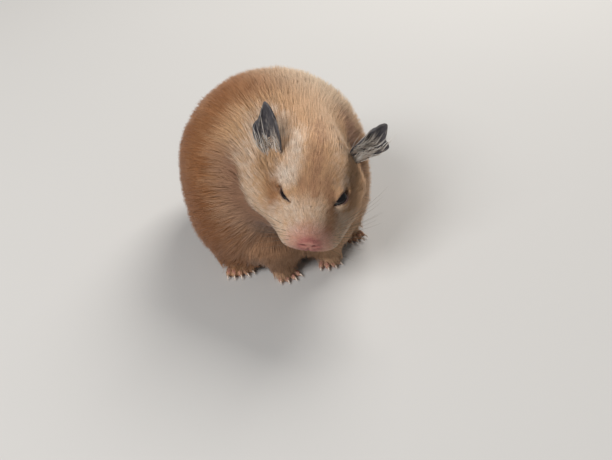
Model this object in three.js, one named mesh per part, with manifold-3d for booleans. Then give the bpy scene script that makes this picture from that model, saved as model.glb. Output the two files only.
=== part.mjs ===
// A Syrian hamster at life size, sitting hunched on the floor, its head lowered and turned to its right.
// Millimetres, +Z up. The trunk lies along Y and faces -Y, and +X is the animal's left.
// The origin is on the floor, in the flat of the belly. Every outline is that of the coat, out to its tips.
import * as THREE from "three";
import { mergeVertices } from "three/addons/utils/BufferGeometryUtils.js";
import Module from "manifold-3d";

const wasm = await Module();
wasm.setup();

const at = (x, y, z) => new THREE.Vector3(x, y, z);
const radians = THREE.MathUtils.degToRad;
const SIDES = { left: 1, right: -1 };

// ---------------------------------------------------------------- driving dimensions: the body
const GAP = 0.3; // between pieces that meet
const BODY_BLEND = 9; // how widely the big forms flow together
const NECK_BLEND = 1.5; // the head into the trunk
const FACE_BLEND = 4; // and the small forms of the face and limbs
const BARREL = { middle: at(-0.7, -1, 31), radii: at(33.4, 33, 32) };
const RUMP = { middle: at(0, 19, 22), radii: at(29, 21, 22.5) };
const SHOULDERS = { middle: at(0, -16, 27), radii: at(21.5, 17.5, 22) };
const HAUNCH = { middle: at(19.8, -3, 15), radii: at(12.5, 20, 15.5) };
const UPPER_ARM = { middle: at(12, -22, 16), radii: at(7, 8, 12) };
const FOREARM = { middle: at(9.5, -24, 8), radii: at(4.8, 5.6, 8) };
const TRUNK_CENTRE = at(0, -1, 28);
const HAUNCH_CENTRE = at(21, -4, 14);
const ARM_CENTRE = at(10.5, -23.5, 12);

// ---------------------------------------------------------------- driving dimensions: the head
// Places on the head are in its own frame: axes as the body's, nose towards -y, origin midway between the eyes.
const EYES_MIDDLE = at(-3, -36.7, 38.5);
const HEAD_TURN = -30; // degrees, to the animal's right
const HEAD_NOD = 27; // degrees, nose down
const HEAD_LEAN = 5; // degrees, crown to its left
const CRANIUM = { middle: at(0, 12, 0.5), radii: at(15.2, 13.5, 11.6) };
const BROW = { middle: at(0, 0.5, 0.5), radii: at(8.2, 10.5, 7.8) };
const BRIDGE = { middle: at(0, -5, -1.9), radii: at(7.4, 9.6, 6.2) };
const WHISKER_PAD = { middle: at(4.5, -9.6, -6.9), radii: at(5, 5, 5) };
const CHIN = { middle: at(0, -8.5, -9.5), radii: at(5, 6, 3.6) };
const JOWL = { middle: at(7.2, -0.6, -6.4), radii: at(6.4, 8.8, 7) };
const THROAT = { middle: at(0, 6, -8), radii: at(12, 13, 7) };
const CHEEKS = {
  left: { middle: at(10.4, 7.1, -2.9), radii: at(7.6, 10.5, 8.4) },
  right: { middle: at(12.7, 6.6, -2.4), radii: at(9.2, 12, 8.8) },
};
const SKULL_CENTRE = at(0, 1, -1.5);
const NECK_CENTRE = at(0, 12, 0);
const NOSE = { middle: at(0, -14.1, -3.3), radii: at(2.7, 1.8, 1.8) };
const EYE = { radius: 3.2, middle: at(7.1, -1, 1.8) };
const EAR_THICKNESS = 0.8;
const EAR_BASE = 0.5; // its narrowest half width, as a share of its widest
const EAR_CREASE = { place: 0.25, width: 0.22, depth: 1.5 }; // between its lobes: shares of its half width, then mm
const EAR_TIP_BACK = 1.2; // how far its tip leans back
const EARS = {
  left: { root: at(13, 13, 5.5), tip: at(20.3, 15.6, 17.4), width: 13, curl: 140, opening: at(0.15, -0.75, 0.45) },
  right: { root: at(-13, 13, 5.5), tip: at(-18.2, 20, 17.6), width: 11.5, curl: 150, opening: at(-0.25, -0.75, 0.45) },
};

// ---------------------------------------------------------------- driving dimensions: feet and tail
const HIND_FOOT = { heel: at(20, -1, 0), palm: at(3.4, 8.5, 3.4), toes: 5, toe: at(1.15, 3.4, 1.5), fan: 20, turn: 8 };
const FORE_FOOT = { heel: at(8.5, -19, 0), palm: at(2.9, 4, 3), toes: 4, toe: at(1, 2.6, 1.3), fan: 24, turn: -4 };
const SOLE_RISE = 0.42; // the palm's middle over the floor, as a share of its half height
const TOE_ROW = { spread: 0.72, start: 1.62, rise: 0.6, shorter: 0.25 }; // shares of the palm's and toes' half sizes
const TAIL = { root: at(0, 35, 12), tip: at(1, 42.5, 9), radius: 2.3, point: 1.2 };

// ---------------------------------------------------------------- where the body is divided
const HEAD_REGION = { middle: at(0, 3, 1), radii: at(24, 21, 18) };
const NECK_REGION = { middle: at(0, 9, 1), radii: at(28, 25, 22) };
const HAUNCH_REGION = { middle: at(26, -4, 12), radii: at(16, 21, 19) };
const ARM_REGION = { middle: at(12, -25, 9), radii: at(9.5, 9, 14) };

const HEAD = new THREE.Matrix4().compose(
  EYES_MIDDLE,
  new THREE.Quaternion().setFromEuler(
    new THREE.Euler(radians(HEAD_NOD), radians(HEAD_LEAN), radians(HEAD_TURN), "ZXY"),
  ),
  at(1, 1, 1),
);
const BODY = new THREE.Matrix4();

// ---------------------------------------------------------------- the surface of the coat
/** An ellipsoid that measures how far a point is outside it, or inside it if negative. */
class Form {
  constructor({ middle, radii }, frame, side = 1) {
    this.middle = middle.clone().multiply(at(side, 1, 1));
    this.radii = radii;
    this.toLocal = frame.clone().invert();
  }

  distance(point) {
    const near = point.clone().applyMatrix4(this.toLocal).sub(this.middle).divide(this.radii);
    const steepness = near.clone().divide(this.radii).length();
    return steepness < 1e-9 ? -this.radii.x : (near.length() * (near.length() - 1)) / steepness;
  }
}

const bothSides = (form, frame) => Object.values(SIDES).map((side) => new Form(form, frame, side));

const TRUNK_FORMS = [new Form(BARREL, BODY), new Form(RUMP, BODY), new Form(SHOULDERS, BODY), ...bothSides(HAUNCH, BODY)];
const LIMB_FORMS = [...bothSides(UPPER_ARM, BODY), ...bothSides(FOREARM, BODY)];
const HEAD_FORMS = [
  new Form(CRANIUM, HEAD),
  new Form(BROW, HEAD),
  new Form(BRIDGE, HEAD),
  ...bothSides(WHISKER_PAD, HEAD),
  new Form(CHIN, HEAD),
  ...bothSides(JOWL, HEAD),
  new Form(THROAT, HEAD),
  ...Object.entries(SIDES).map(([name, side]) => new Form(CHEEKS[name], HEAD, side)),
];

/** The lesser of two distances, rounded over where they are within `width` of each other. */
function blend(a, b, width) {
  const nearness = Math.max(width - Math.abs(a - b), 0) / width;
  return Math.min(a, b) - (nearness * nearness * width) / 4;
}

/** How far a point is outside the coat. */
function coatDistance(point) {
  const over = (forms, width) => forms.map((form) => form.distance(point)).reduce((a, b) => blend(a, b, width));
  const trunkAndHead = blend(over(TRUNK_FORMS, BODY_BLEND), over(HEAD_FORMS, FACE_BLEND), NECK_BLEND);
  return blend(trunkAndHead, over(LIMB_FORMS, FACE_BLEND), FACE_BLEND);
}

/** How far the coat is from `middle` along `direction`. */
function reach(middle, direction) {
  let far = 0;
  for (let step = 0; step < 90; step++) {
    const depth = -coatDistance(middle.clone().addScaledVector(direction, far));
    if (depth < 1e-3) break;
    far += 0.8 * depth;
  }
  return far;
}

// ---------------------------------------------------------------- solids
/** A geometry's closed surface as a solid. */
function toSolid(geometry) {
  const bare = new THREE.BufferGeometry().setAttribute("position", geometry.getAttribute("position").clone());
  if (geometry.index) bare.setIndex(geometry.index.clone());
  const merged = mergeVertices(bare, 1e-4);
  return new wasm.Manifold(
    new wasm.Mesh({
      numProp: 3,
      vertProperties: merged.attributes.position.array,
      triVerts: new Uint32Array(merged.index.array),
    }),
  );
}

function toGeometry(solid) {
  const made = solid.getMesh();
  return new THREE.BufferGeometry()
    .setAttribute("position", new THREE.BufferAttribute(Float32Array.from(made.vertProperties), 3))
    .setIndex(new THREE.BufferAttribute(Uint32Array.from(made.triVerts), 1));
}

/** Moves every point of a geometry to where `place` puts it. */
function reshape(geometry, place) {
  const points = geometry.getAttribute("position");
  for (let i = 0; i < points.count; i++) {
    const moved = place(new THREE.Vector3().fromBufferAttribute(points, i));
    points.setXYZ(i, moved.x, moved.y, moved.z);
  }
  return geometry;
}

/** A ball drawn out from `middle` until it meets the coat all round, and `extra` beyond it. */
function wrapped(middle, detail, extra = 0) {
  return toSolid(
    reshape(new THREE.IcosahedronGeometry(1, detail), (point) => {
      const direction = point.normalize();
      return middle.clone().addScaledVector(direction, reach(middle, direction) + extra);
    }),
  );
}

/** An ellipsoid grown by `extra`, as a solid. */
function ellipsoid({ middle, radii }, frame, side = 1, extra = 0, segments = 16) {
  return toSolid(
    new THREE.SphereGeometry(1, segments, segments / 2)
      .scale(radii.x + extra, radii.y + extra, radii.z + extra)
      .translate(side * middle.x, middle.y, middle.z)
      .applyMatrix4(frame),
  );
}

/** A thin leaf: `surface(across, along)` with both from 0 to 1, made `thickness` thick and closed round its rim. */
function leaf(surface, thickness, acrossCount = 10, alongCount = 6) {
  const step = 1e-3;
  const columns = acrossCount + 1;
  const positions = [];
  for (const face of [1, -1]) {
    for (let j = 0; j <= alongCount; j++) {
      for (let i = 0; i <= acrossCount; i++) {
        const [u, v] = [i / acrossCount, j / alongCount];
        const across = surface(u + step, v).sub(surface(u - step, v));
        const along = surface(u, v + step).sub(surface(u, v - step));
        const lift = across.cross(along).normalize().multiplyScalar((face * thickness) / 2);
        positions.push(...surface(u, v).add(lift).toArray());
      }
    }
  }
  const back = columns * (alongCount + 1);
  const indices = [];
  const square = (a, b, c, d) => indices.push(a, b, c, a, c, d);
  for (let j = 0; j < alongCount; j++) {
    for (let i = 0; i < acrossCount; i++) {
      const corner = j * columns + i;
      square(corner, corner + 1, corner + columns + 1, corner + columns);
      square(back + corner, back + corner + columns, back + corner + columns + 1, back + corner + 1);
    }
    const [left, right] = [j * columns, j * columns + acrossCount];
    square(left, left + columns, back + left + columns, back + left);
    square(right, back + right, back + right + columns, right + columns);
  }
  for (let i = 0; i < acrossCount; i++) {
    const top = alongCount * columns + i;
    square(i, back + i, back + i + 1, i + 1);
    square(top, top + 1, back + top + 1, back + top);
  }
  return toSolid(
    new THREE.BufferGeometry()
      .setAttribute("position", new THREE.Float32BufferAttribute(positions, 3))
      .setIndex(indices),
  );
}

const FLOOR_SIZE = 300;
const aboveFloor = toSolid(new THREE.BoxGeometry(FLOOR_SIZE, FLOOR_SIZE, FLOOR_SIZE).translate(0, 0, FLOOR_SIZE / 2));

// ---------------------------------------------------------------- the pieces
const eyeBall = (side, extra = 0) =>
  toSolid(
    new THREE.SphereGeometry(EYE.radius + extra, 12, 8)
      .translate(side * EYE.middle.x, EYE.middle.y, EYE.middle.z)
      .applyMatrix4(HEAD),
  );

/** How long an ear is, as a share of its height, at `lateral` from its inner rim at -1 to its outer at 1. */
function earLength(lateral) {
  const innerRim = 0.5 * Math.max(-lateral - 0.15, 0) ** 1.6;
  const outerLobe = 0.34 * THREE.MathUtils.smoothstep(lateral, -0.25, 0.45) + 0.25 * Math.max(lateral - 0.45, 0) ** 1.6;
  return 1 - innerRim - outerLobe;
}

/** An ear: a leaf curled about its length, its root sunk in the head, creased between a long and a short lobe. */
function ear({ root, tip, width, curl, opening }, side, extra = 0) {
  const axis = tip.clone().sub(root);
  const height = axis.length();
  axis.normalize();
  const forward = opening.clone().addScaledVector(axis, -opening.dot(axis)).normalize();
  const sideways = forward.clone().cross(axis);
  const grown = (share, size) => share + ((2 * share - 1) * extra) / size;
  const surface = (acrossShare, alongShare) => {
    const across = 2 * grown(acrossShare, width) - 1;
    const along = grown(alongShare, height);
    const lateral = -side * across;
    const halfWidth = (width / 2) * (EAR_BASE + (1 - EAR_BASE) * Math.sin(Math.PI * (0.1 + 0.62 * along)));
    const halfCurl = radians(curl / 2);
    const bend = (halfWidth / halfCurl) * (1 - Math.cos(across * halfCurl));
    const crease = EAR_CREASE.depth * along * Math.exp(-(((lateral - EAR_CREASE.place) / EAR_CREASE.width) ** 2));
    return root
      .clone()
      .addScaledVector(axis, height * along * earLength(lateral))
      .addScaledVector(sideways, (halfWidth / halfCurl) * Math.sin(across * halfCurl))
      .addScaledVector(forward, bend + crease - EAR_TIP_BACK * along * along)
      .applyMatrix4(HEAD);
  };
  return leaf(surface, EAR_THICKNESS + 2 * extra);
}

/** A foot flat on the floor, its toes fanned out in front of its palm. */
function foot({ heel, palm, toes, toe, fan, turn }, side, extra = 0) {
  const place = new THREE.Matrix4().makeRotationZ(radians(side * turn)).setPosition(side * heel.x, heel.y, 0);
  const sole = { middle: at(0, -palm.y, palm.z * SOLE_RISE), radii: palm };
  const pieces = [ellipsoid(sole, place, 1, extra, 10)];
  for (let i = 0; i < toes; i++) {
    const share = (2 * i) / (toes - 1) - 1;
    const toePlace = place
      .clone()
      .multiply(new THREE.Matrix4().makeTranslation(share * palm.x * TOE_ROW.spread, -palm.y * TOE_ROW.start, 0))
      .multiply(new THREE.Matrix4().makeRotationZ(radians(share * fan)));
    const reachOut = toe.y * (1 - TOE_ROW.shorter * share * share);
    const shape = { middle: at(0, -reachOut, toe.z * TOE_ROW.rise), radii: toe };
    pieces.push(ellipsoid(shape, toePlace, 1, extra, 6));
  }
  return wasm.Manifold.union(pieces).intersect(aboveFloor);
}

/** The tail: a short taper with a round end. */
function tail(extra = 0) {
  const along = TAIL.tip.clone().sub(TAIL.root);
  const shape = new THREE.CapsuleGeometry(TAIL.radius + extra, along.length() - TAIL.radius, 4, 12);
  const length = along.length();
  const turned = new THREE.Quaternion().setFromUnitVectors(at(0, 1, 0), along.clone().normalize());
  return toSolid(
    reshape(shape, (point) => {
      const share = THREE.MathUtils.clamp(point.y / length + 0.5, 0, 1);
      const narrowing = THREE.MathUtils.lerp(1, TAIL.point / TAIL.radius, share);
      return at(point.x * narrowing, point.y, point.z * narrowing)
        .applyQuaternion(turned)
        .add(TAIL.root.clone().lerp(TAIL.tip, 0.5));
    }),
  );
}

const headRegion = (extra = 0) => ellipsoid(HEAD_REGION, HEAD, 1, extra);
const neckRegion = (extra = 0) => ellipsoid(NECK_REGION, HEAD, 1, extra);
const armRegion = (side, extra = 0) => ellipsoid(ARM_REGION, BODY, side, extra);
const haunchRegion = (side, extra = 0) => ellipsoid(HAUNCH_REGION, BODY, side, extra);
const onSide = (place, side) => place.clone().multiply(at(side, 1, 1));

/** Cuts a solid back by each of `others`. */
const cutBy = (solid, ...others) => others.reduce((left, other) => left.subtract(other), solid);

function head() {
  const whole = wrapped(SKULL_CENTRE.clone().applyMatrix4(HEAD), 7).intersect(headRegion());
  return cutBy(
    whole,
    eyeBall(SIDES.left, GAP),
    eyeBall(SIDES.right, GAP),
    ear(EARS.left, SIDES.left, GAP),
    ear(EARS.right, SIDES.right, GAP),
    ellipsoid(NOSE, HEAD, 1, GAP, 12),
  );
}

function neck() {
  const whole = wrapped(NECK_CENTRE.clone().applyMatrix4(HEAD), 5).intersect(neckRegion());
  return cutBy(whole, headRegion(GAP), ear(EARS.left, SIDES.left, GAP), ear(EARS.right, SIDES.right, GAP));
}

function trunk() {
  const limbs = Object.values(SIDES).flatMap((side) => [
    haunchRegion(side, GAP),
    armRegion(side, GAP),
    foot(HIND_FOOT, side, GAP),
    foot(FORE_FOOT, side, GAP),
  ]);
  return cutBy(wrapped(TRUNK_CENTRE, 6).intersect(aboveFloor), neckRegion(GAP), headRegion(GAP), tail(GAP), ...limbs);
}

function hindLeg(side) {
  const whole = wrapped(onSide(HAUNCH_CENTRE, side), 4).intersect(haunchRegion(side)).intersect(aboveFloor);
  return cutBy(whole, armRegion(side, GAP), neckRegion(GAP), foot(HIND_FOOT, side, GAP));
}

function foreLeg(side) {
  const whole = wrapped(onSide(ARM_CENTRE, side), 3).intersect(armRegion(side)).intersect(aboveFloor);
  return cutBy(whole, neckRegion(GAP), headRegion(GAP), foot(FORE_FOOT, side, GAP), foot(HIND_FOOT, side, GAP));
}

const COAT = { color: "#c8935f", roughness: 0.85 };
const PALE_COAT = { color: "#dcb98e", roughness: 0.85 };
const BARE_SKIN = { color: "#c98f83", roughness: 0.6 };
const EAR_SKIN = { color: "#4a4446", roughness: 0.7 };
const EYE_BLACK = { color: "#0b0a0b", roughness: 0.08 };
const hamster = new THREE.Group();

/** Adds a solid to the hamster as a mesh of its own, with its own material. */
function add(name, solid, finish) {
  const mesh = new THREE.Mesh(toGeometry(solid), new THREE.MeshStandardMaterial({ metalness: 0, ...finish }));
  mesh.name = name;
  hamster.add(mesh);
}

add("trunk", trunk(), COAT);
add("neck", neck(), COAT);
add("head", head(), PALE_COAT);
add("nose", ellipsoid(NOSE, HEAD, 1, 0, 12), BARE_SKIN);
add("tail", tail(), BARE_SKIN);
for (const [name, side] of Object.entries(SIDES)) {
  add(`eye_${name}`, eyeBall(side), EYE_BLACK);
  add(`ear_${name}`, ear(EARS[name], side), EAR_SKIN);
  add(`hind_leg_${name}`, hindLeg(side), COAT);
  add(`fore_leg_${name}`, foreLeg(side), PALE_COAT);
  add(`hind_foot_${name}`, foot(HIND_FOOT, side), BARE_SKIN);
  add(`fore_foot_${name}`, foot(FORE_FOOT, side), BARE_SKIN);
}

export default hamster;
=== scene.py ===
"""A life-size Syrian hamster that sits hunched on the floor, with its skin, coat, eyes, claws and whiskers.

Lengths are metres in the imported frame: the floor is z = 0, the trunk faces -Y and +X is the animal's left.
Places on the head are millimetres in the head's own frame, whose origin is midway between the eyes.
"""

import logging
import math
from dataclasses import dataclass, field
from enum import Enum
from functools import cache

import bmesh
import bpy
import numpy as np
from mathutils import Matrix, Vector
from mathutils.kdtree import KDTree


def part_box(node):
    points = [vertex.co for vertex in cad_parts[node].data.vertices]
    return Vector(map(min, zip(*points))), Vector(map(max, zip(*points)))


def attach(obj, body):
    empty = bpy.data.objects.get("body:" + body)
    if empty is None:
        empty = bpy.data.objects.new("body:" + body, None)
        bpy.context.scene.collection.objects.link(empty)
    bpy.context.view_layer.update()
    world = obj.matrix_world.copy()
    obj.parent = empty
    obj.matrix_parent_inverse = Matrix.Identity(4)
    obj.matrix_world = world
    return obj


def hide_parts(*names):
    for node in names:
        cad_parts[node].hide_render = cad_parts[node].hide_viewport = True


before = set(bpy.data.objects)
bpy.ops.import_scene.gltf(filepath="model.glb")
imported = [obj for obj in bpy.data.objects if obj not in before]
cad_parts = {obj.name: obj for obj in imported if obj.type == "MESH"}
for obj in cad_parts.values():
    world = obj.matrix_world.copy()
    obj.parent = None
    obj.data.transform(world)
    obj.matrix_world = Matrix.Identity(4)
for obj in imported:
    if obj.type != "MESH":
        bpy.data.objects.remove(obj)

MM = 0.001
SEED = 20
FLOOR_CLEARANCE = 0.00015

log = logging.getLogger("hamster")
Array = np.ndarray


class Side(Enum):
    """The animal's two sides, and the sign of x on each."""

    LEFT = 1
    RIGHT = -1

    @property
    def word(self) -> str:
        """The side's name in lower case."""
        return self.name.lower()


# ---------------------------------------------------------------- arithmetic on arrays of points
def unit(vectors: Array) -> Array:
    """Vectors scaled to a length of one."""
    return vectors / np.maximum(np.linalg.norm(vectors, axis=-1, keepdims=True), 1e-12)


def ramp(values: Array, start: float, end: float) -> Array:
    """A smooth step that is 0 at `start` and 1 at `end`, whichever is the larger."""
    share = np.clip((values - start) / (end - start), 0.0, 1.0)
    return share * share * (3.0 - 2.0 * share)


def bell(distances: Array, width: float) -> Array:
    """A smooth bump that is 1 at 0 and fades over `width`."""
    return np.exp(-((distances / width) ** 2))


def mix(first: Array | float, second: Array | float, share: Array) -> Array:
    """The blend of two arrays, all of the second where `share` is 1."""
    return first + (second - first) * share


def soft_max(first: Array, second: Array, width: float) -> Array:
    """The larger of two arrays, rounded over where they are within `width` of each other."""
    nearness = np.maximum(width - np.abs(first - second), 0.0) / width
    return np.maximum(first, second) + nearness * nearness * width / 4.0


@dataclass(frozen=True)
class HeadFrame:
    """The head's own axes: x to its left, the nose towards -y, z up, origin midway between the eyes.

    Attributes:
        middle: the origin in the row's frame, in metres.
        turn: degrees to the animal's left.
        nod: degrees nose down.
        lean: degrees crown to the left.
    """

    middle: tuple[float, float, float] = (-0.003, -0.0367, 0.0385)
    turn: float = -30.0
    nod: float = 27.0
    lean: float = 5.0

    @property
    def axes(self) -> Array:
        """The head's axes as the columns of a matrix in the row's frame."""
        turned = Matrix.Rotation(math.radians(self.turn), 3, "Z")
        nodded = Matrix.Rotation(math.radians(self.nod), 3, "X")
        leant = Matrix.Rotation(math.radians(self.lean), 3, "Y")
        return np.array(turned @ nodded @ leant)

    def to_head(self, points: Array) -> Array:
        """Points of the row's frame as millimetres in the head's."""
        return (points - np.array(self.middle)) @ self.axes / MM

    def to_row(self, places: Array) -> Array:
        """Places on the head, in millimetres, as points of the row's frame."""
        return np.array(self.middle) + np.asarray(places, float) * MM @ self.axes.T

    def direction(self, vectors: Array) -> Array:
        """Directions on the head as unit vectors of the row's frame."""
        return unit(np.asarray(vectors, float) @ self.axes.T)


HEAD = HeadFrame()
NOSE_TIP = np.array([0.0, -15.2, -3.6])
EAR_ROOT = np.array([13.0, 13.0, 5.5])
EAR_LOBE = (-18.6, 17.0, 12.6)  # the pale lobe of the right ear


@cache
def box_of(node: str) -> tuple[Array, Array]:
    """The lowest and highest corner of a CAD node, in metres."""
    low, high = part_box(node)
    return np.array(low), np.array(high)


def centre_of(node: str) -> Array:
    """The middle of a CAD node's box, in metres."""
    low, high = box_of(node)
    return (low + high) / 2


def mirrored(place: Array, side: Side) -> Array:
    """A place on the left of the head, or its mirror image on the right."""
    return place * np.array([side.value, 1.0, 1.0])


def folded(places: Array) -> Array:
    """Places with those on the right mirrored to the left."""
    return np.column_stack([np.abs(places[:, 0]), places[:, 1:]])


def from_point(places: Array, middle: Array | tuple, radii: float | tuple = 1.0) -> Array:
    """How far places are from one point, each way measured in its own radius."""
    return np.linalg.norm((places - middle) / radii, axis=1)


def from_nose_pad(on_head: Array) -> Array:
    """How far places on the head are from the middle of the nose pad, which is wider than tall."""
    return from_point(on_head, NOSE_TIP, (1.3, 1.0, 1.0))


def from_line(places: Array, start: tuple, heading: tuple, first: float, last: float) -> Array:
    """How far places are from a straight line.

    Args:
        places: the places, in millimetres.
        start: a point on the line.
        heading: the way that the line runs.
        first: where the line begins, in millimetres along it from `start`.
        last: where it ends.

    Returns:
        One distance for each place, in millimetres.
    """
    heading = unit(np.array(heading))
    from_start = places - start
    slide = np.clip(from_start @ heading, first, last)
    return np.linalg.norm(from_start - np.outer(slide, heading), axis=1)


# ---------------------------------------------------------------- where each part of the body is
@dataclass(frozen=True)
class Regions:
    """How much each point belongs to the head, the forelegs and so on, from 0 to 1.

    Attributes:
        head_middle: the middle of the head, in millimetres of its own frame.
        head_radii: its radii, in millimetres.
        arm_middle: the middle of the left foreleg, in millimetres of the row's frame.
        arm_radii: its radii, in millimetres.
        tail_root: where the tail starts, in millimetres of the row's frame.
        tail_tip: where it ends.
        foot_reach: how far round a foot's CAD box its skin goes, in metres.
        foot_top: the heights between which a leg turns into a foot, in metres.
    """

    head_middle: tuple[float, float, float] = (0.0, 3.0, 1.0)
    head_radii: tuple[float, float, float] = (24.0, 21.0, 18.0)
    arm_middle: tuple[float, float, float] = (12.0, -25.0, 9.0)
    arm_radii: tuple[float, float, float] = (9.5, 9.0, 14.0)
    tail_root: tuple[float, float, float] = (0.0, 35.0, 12.0)
    tail_tip: tuple[float, float, float] = (1.0, 42.5, 9.0)
    foot_reach: float = 0.0012
    foot_top: tuple[float, float] = (0.0062, 0.0042)

    def head(self, points: Array) -> Array:
        """How much points belong to the head."""
        return ramp(from_point(HEAD.to_head(points), self.head_middle, self.head_radii), 1.3, 0.95)

    def forelegs(self, points: Array) -> Array:
        """How much points belong to the forelegs."""
        share = ramp(from_point(folded(points / MM), self.arm_middle, self.arm_radii), 1.15, 0.9)
        return share * (1.0 - self.head(points))

    def tail(self, points: Array) -> Array:
        """How much points belong to the tail."""
        root, along = np.array(self.tail_root), np.subtract(self.tail_tip, self.tail_root)
        from_root = points / MM - root
        share = np.clip(from_root @ along / (along @ along), 0.0, 1.3)
        distance = np.linalg.norm(from_root - share[:, None] * along, axis=1)
        return ramp(distance, 4.2, 3.0) * ramp(share, 0.05, 0.35)

    def round_tail(self, points: Array) -> Array:
        """How much points are close round the tail's root."""
        return ramp(from_point(points / MM, self.tail_root), 10.0, 5.0)

    def near(self, points: Array, node: str, reach: float) -> Array:
        """How much points are within `reach` metres of a CAD node's box."""
        low, high = box_of(node)
        outside = np.linalg.norm(np.maximum(np.maximum(low - points, points - high), 0.0), axis=1)
        return ramp(outside, reach, 0.0)

    def feet(self, points: Array) -> Array:
        """How much points belong to the four feet."""
        shares = [self.near(points, f"{limb}_foot_{side.word}", self.foot_reach)
                  for limb in ("hind", "fore") for side in Side]
        return np.max(shares, axis=0) * ramp(points[:, 2], *self.foot_top)

    def eyes(self, points: Array) -> Array:
        """The distance of points from the nearer eye's middle, in millimetres."""
        middles = [centre_of(f"eye_{side.word}") for side in Side]
        return np.min([np.linalg.norm(points - middle, axis=1) for middle in middles], axis=0) / MM


REGIONS = Regions()


@dataclass(frozen=True)
class Pelage:
    """The lie of the coat: its depth and the way that it flows.

    Depths are millimetres from the skin to the tips.

    Attributes:
        body_depth: on the back and the flanks.
        foreleg_depth: on the forelegs.
        belly_depth: low on the body.
        rump_depth: round the tail's root.
        tail_depth: on the tail.
        foot_depth: on the feet.
        nose_to_nape: places along the head from its front to its back, in millimetres.
        head_depths: the depth at each of those places.
        cheek_depth: how much deeper the coat is at the sides of the head.
        eye_depth: close to the eyes.
        eye_reach: how far from an eye's middle the coat grows thinner, in millimetres.
        body_pull: what the body adds to the way that the hairs lie.
        foreleg_pull: what the forelegs add.
        foot_pull: what the feet add.
        ear_rise: the way from root to tip of the left ear, then of the right, on the head.
    """

    body_depth: float = 5.6
    foreleg_depth: float = 3.2
    belly_depth: float = 3.6
    rump_depth: float = 2.4
    tail_depth: float = 0.5
    foot_depth: float = 0.25
    nose_to_nape: tuple[float, ...] = (-15.0, -12.0, -8.0, -3.0, 2.0, 8.0, 16.0, 24.0)
    head_depths: tuple[float, ...] = (0.3, 0.6, 1.0, 1.5, 2.1, 3.0, 4.4, 5.6)
    cheek_depth: float = 2.4
    eye_depth: float = 0.5
    eye_reach: float = 6.4
    body_pull: tuple[float, float, float] = (0.0, 0.35, -0.75)
    foreleg_pull: tuple[float, float, float] = (0.0, -0.6, -1.4)
    foot_pull: tuple[float, float, float] = (0.0, -4.0, -0.5)
    ear_rise: tuple[tuple[float, ...], ...] = ((7.3, 2.6, 11.9), (-5.2, 7.0, 12.1))

    def depth(self, points: Array) -> Array:
        """The coat's depth over points of the skin or near it, in metres."""
        on_head = HEAD.to_head(points)
        head = np.interp(on_head[:, 1], self.nose_to_nape, self.head_depths)
        cheek = self.cheek_depth * ramp(np.abs(on_head[:, 0]), 9.0, 15.0)
        head = head + cheek * ramp(on_head[:, 1], -5.0, 3.0)
        head = mix(head, self.eye_depth, ramp(REGIONS.eyes(points), self.eye_reach, 3.6))
        body = mix(self.body_depth, self.belly_depth, ramp(points[:, 2], 0.014, 0.004))
        body = mix(body, self.foreleg_depth, REGIONS.forelegs(points))
        body = mix(body, self.rump_depth, REGIONS.round_tail(points))
        body = mix(body, self.tail_depth, REGIONS.tail(points))
        depth = mix(body, head, REGIONS.head(points))
        return mix(depth, self.foot_depth, REGIONS.feet(points)) * MM

    def flow(self, points: Array, normals: Array) -> Array:
        """The way that the hairs lie over the skin: away from the nose, back and down.

        Args:
            points: places on the skin, in metres.
            normals: the skin's outward normals there.

        Returns:
            Unit vectors that lie in the skin.
        """
        away = unit(points - HEAD.to_row(NOSE_TIP))
        on_body = 1.0 - REGIONS.head(points)
        pull = np.outer(on_body, self.body_pull)
        down_leg = np.outer(REGIONS.forelegs(points), self.foreleg_pull)
        forward = np.outer(REGIONS.feet(points), self.foot_pull)
        heading = away + pull + down_leg + forward
        return unit(heading - normals * np.sum(heading * normals, axis=1, keepdims=True))

    def ear_flow(self, points: Array, normals: Array) -> Array:
        """The way that hairs lie over the ears: from the root to the tip."""
        on_left = HEAD.to_head(points)[:, :1] > 0.0
        heading = np.where(on_left, HEAD.direction(self.ear_rise[0]), HEAD.direction(self.ear_rise[1]))
        return unit(heading - normals * np.sum(heading * normals, axis=1, keepdims=True))


PELAGE = Pelage()


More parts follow.
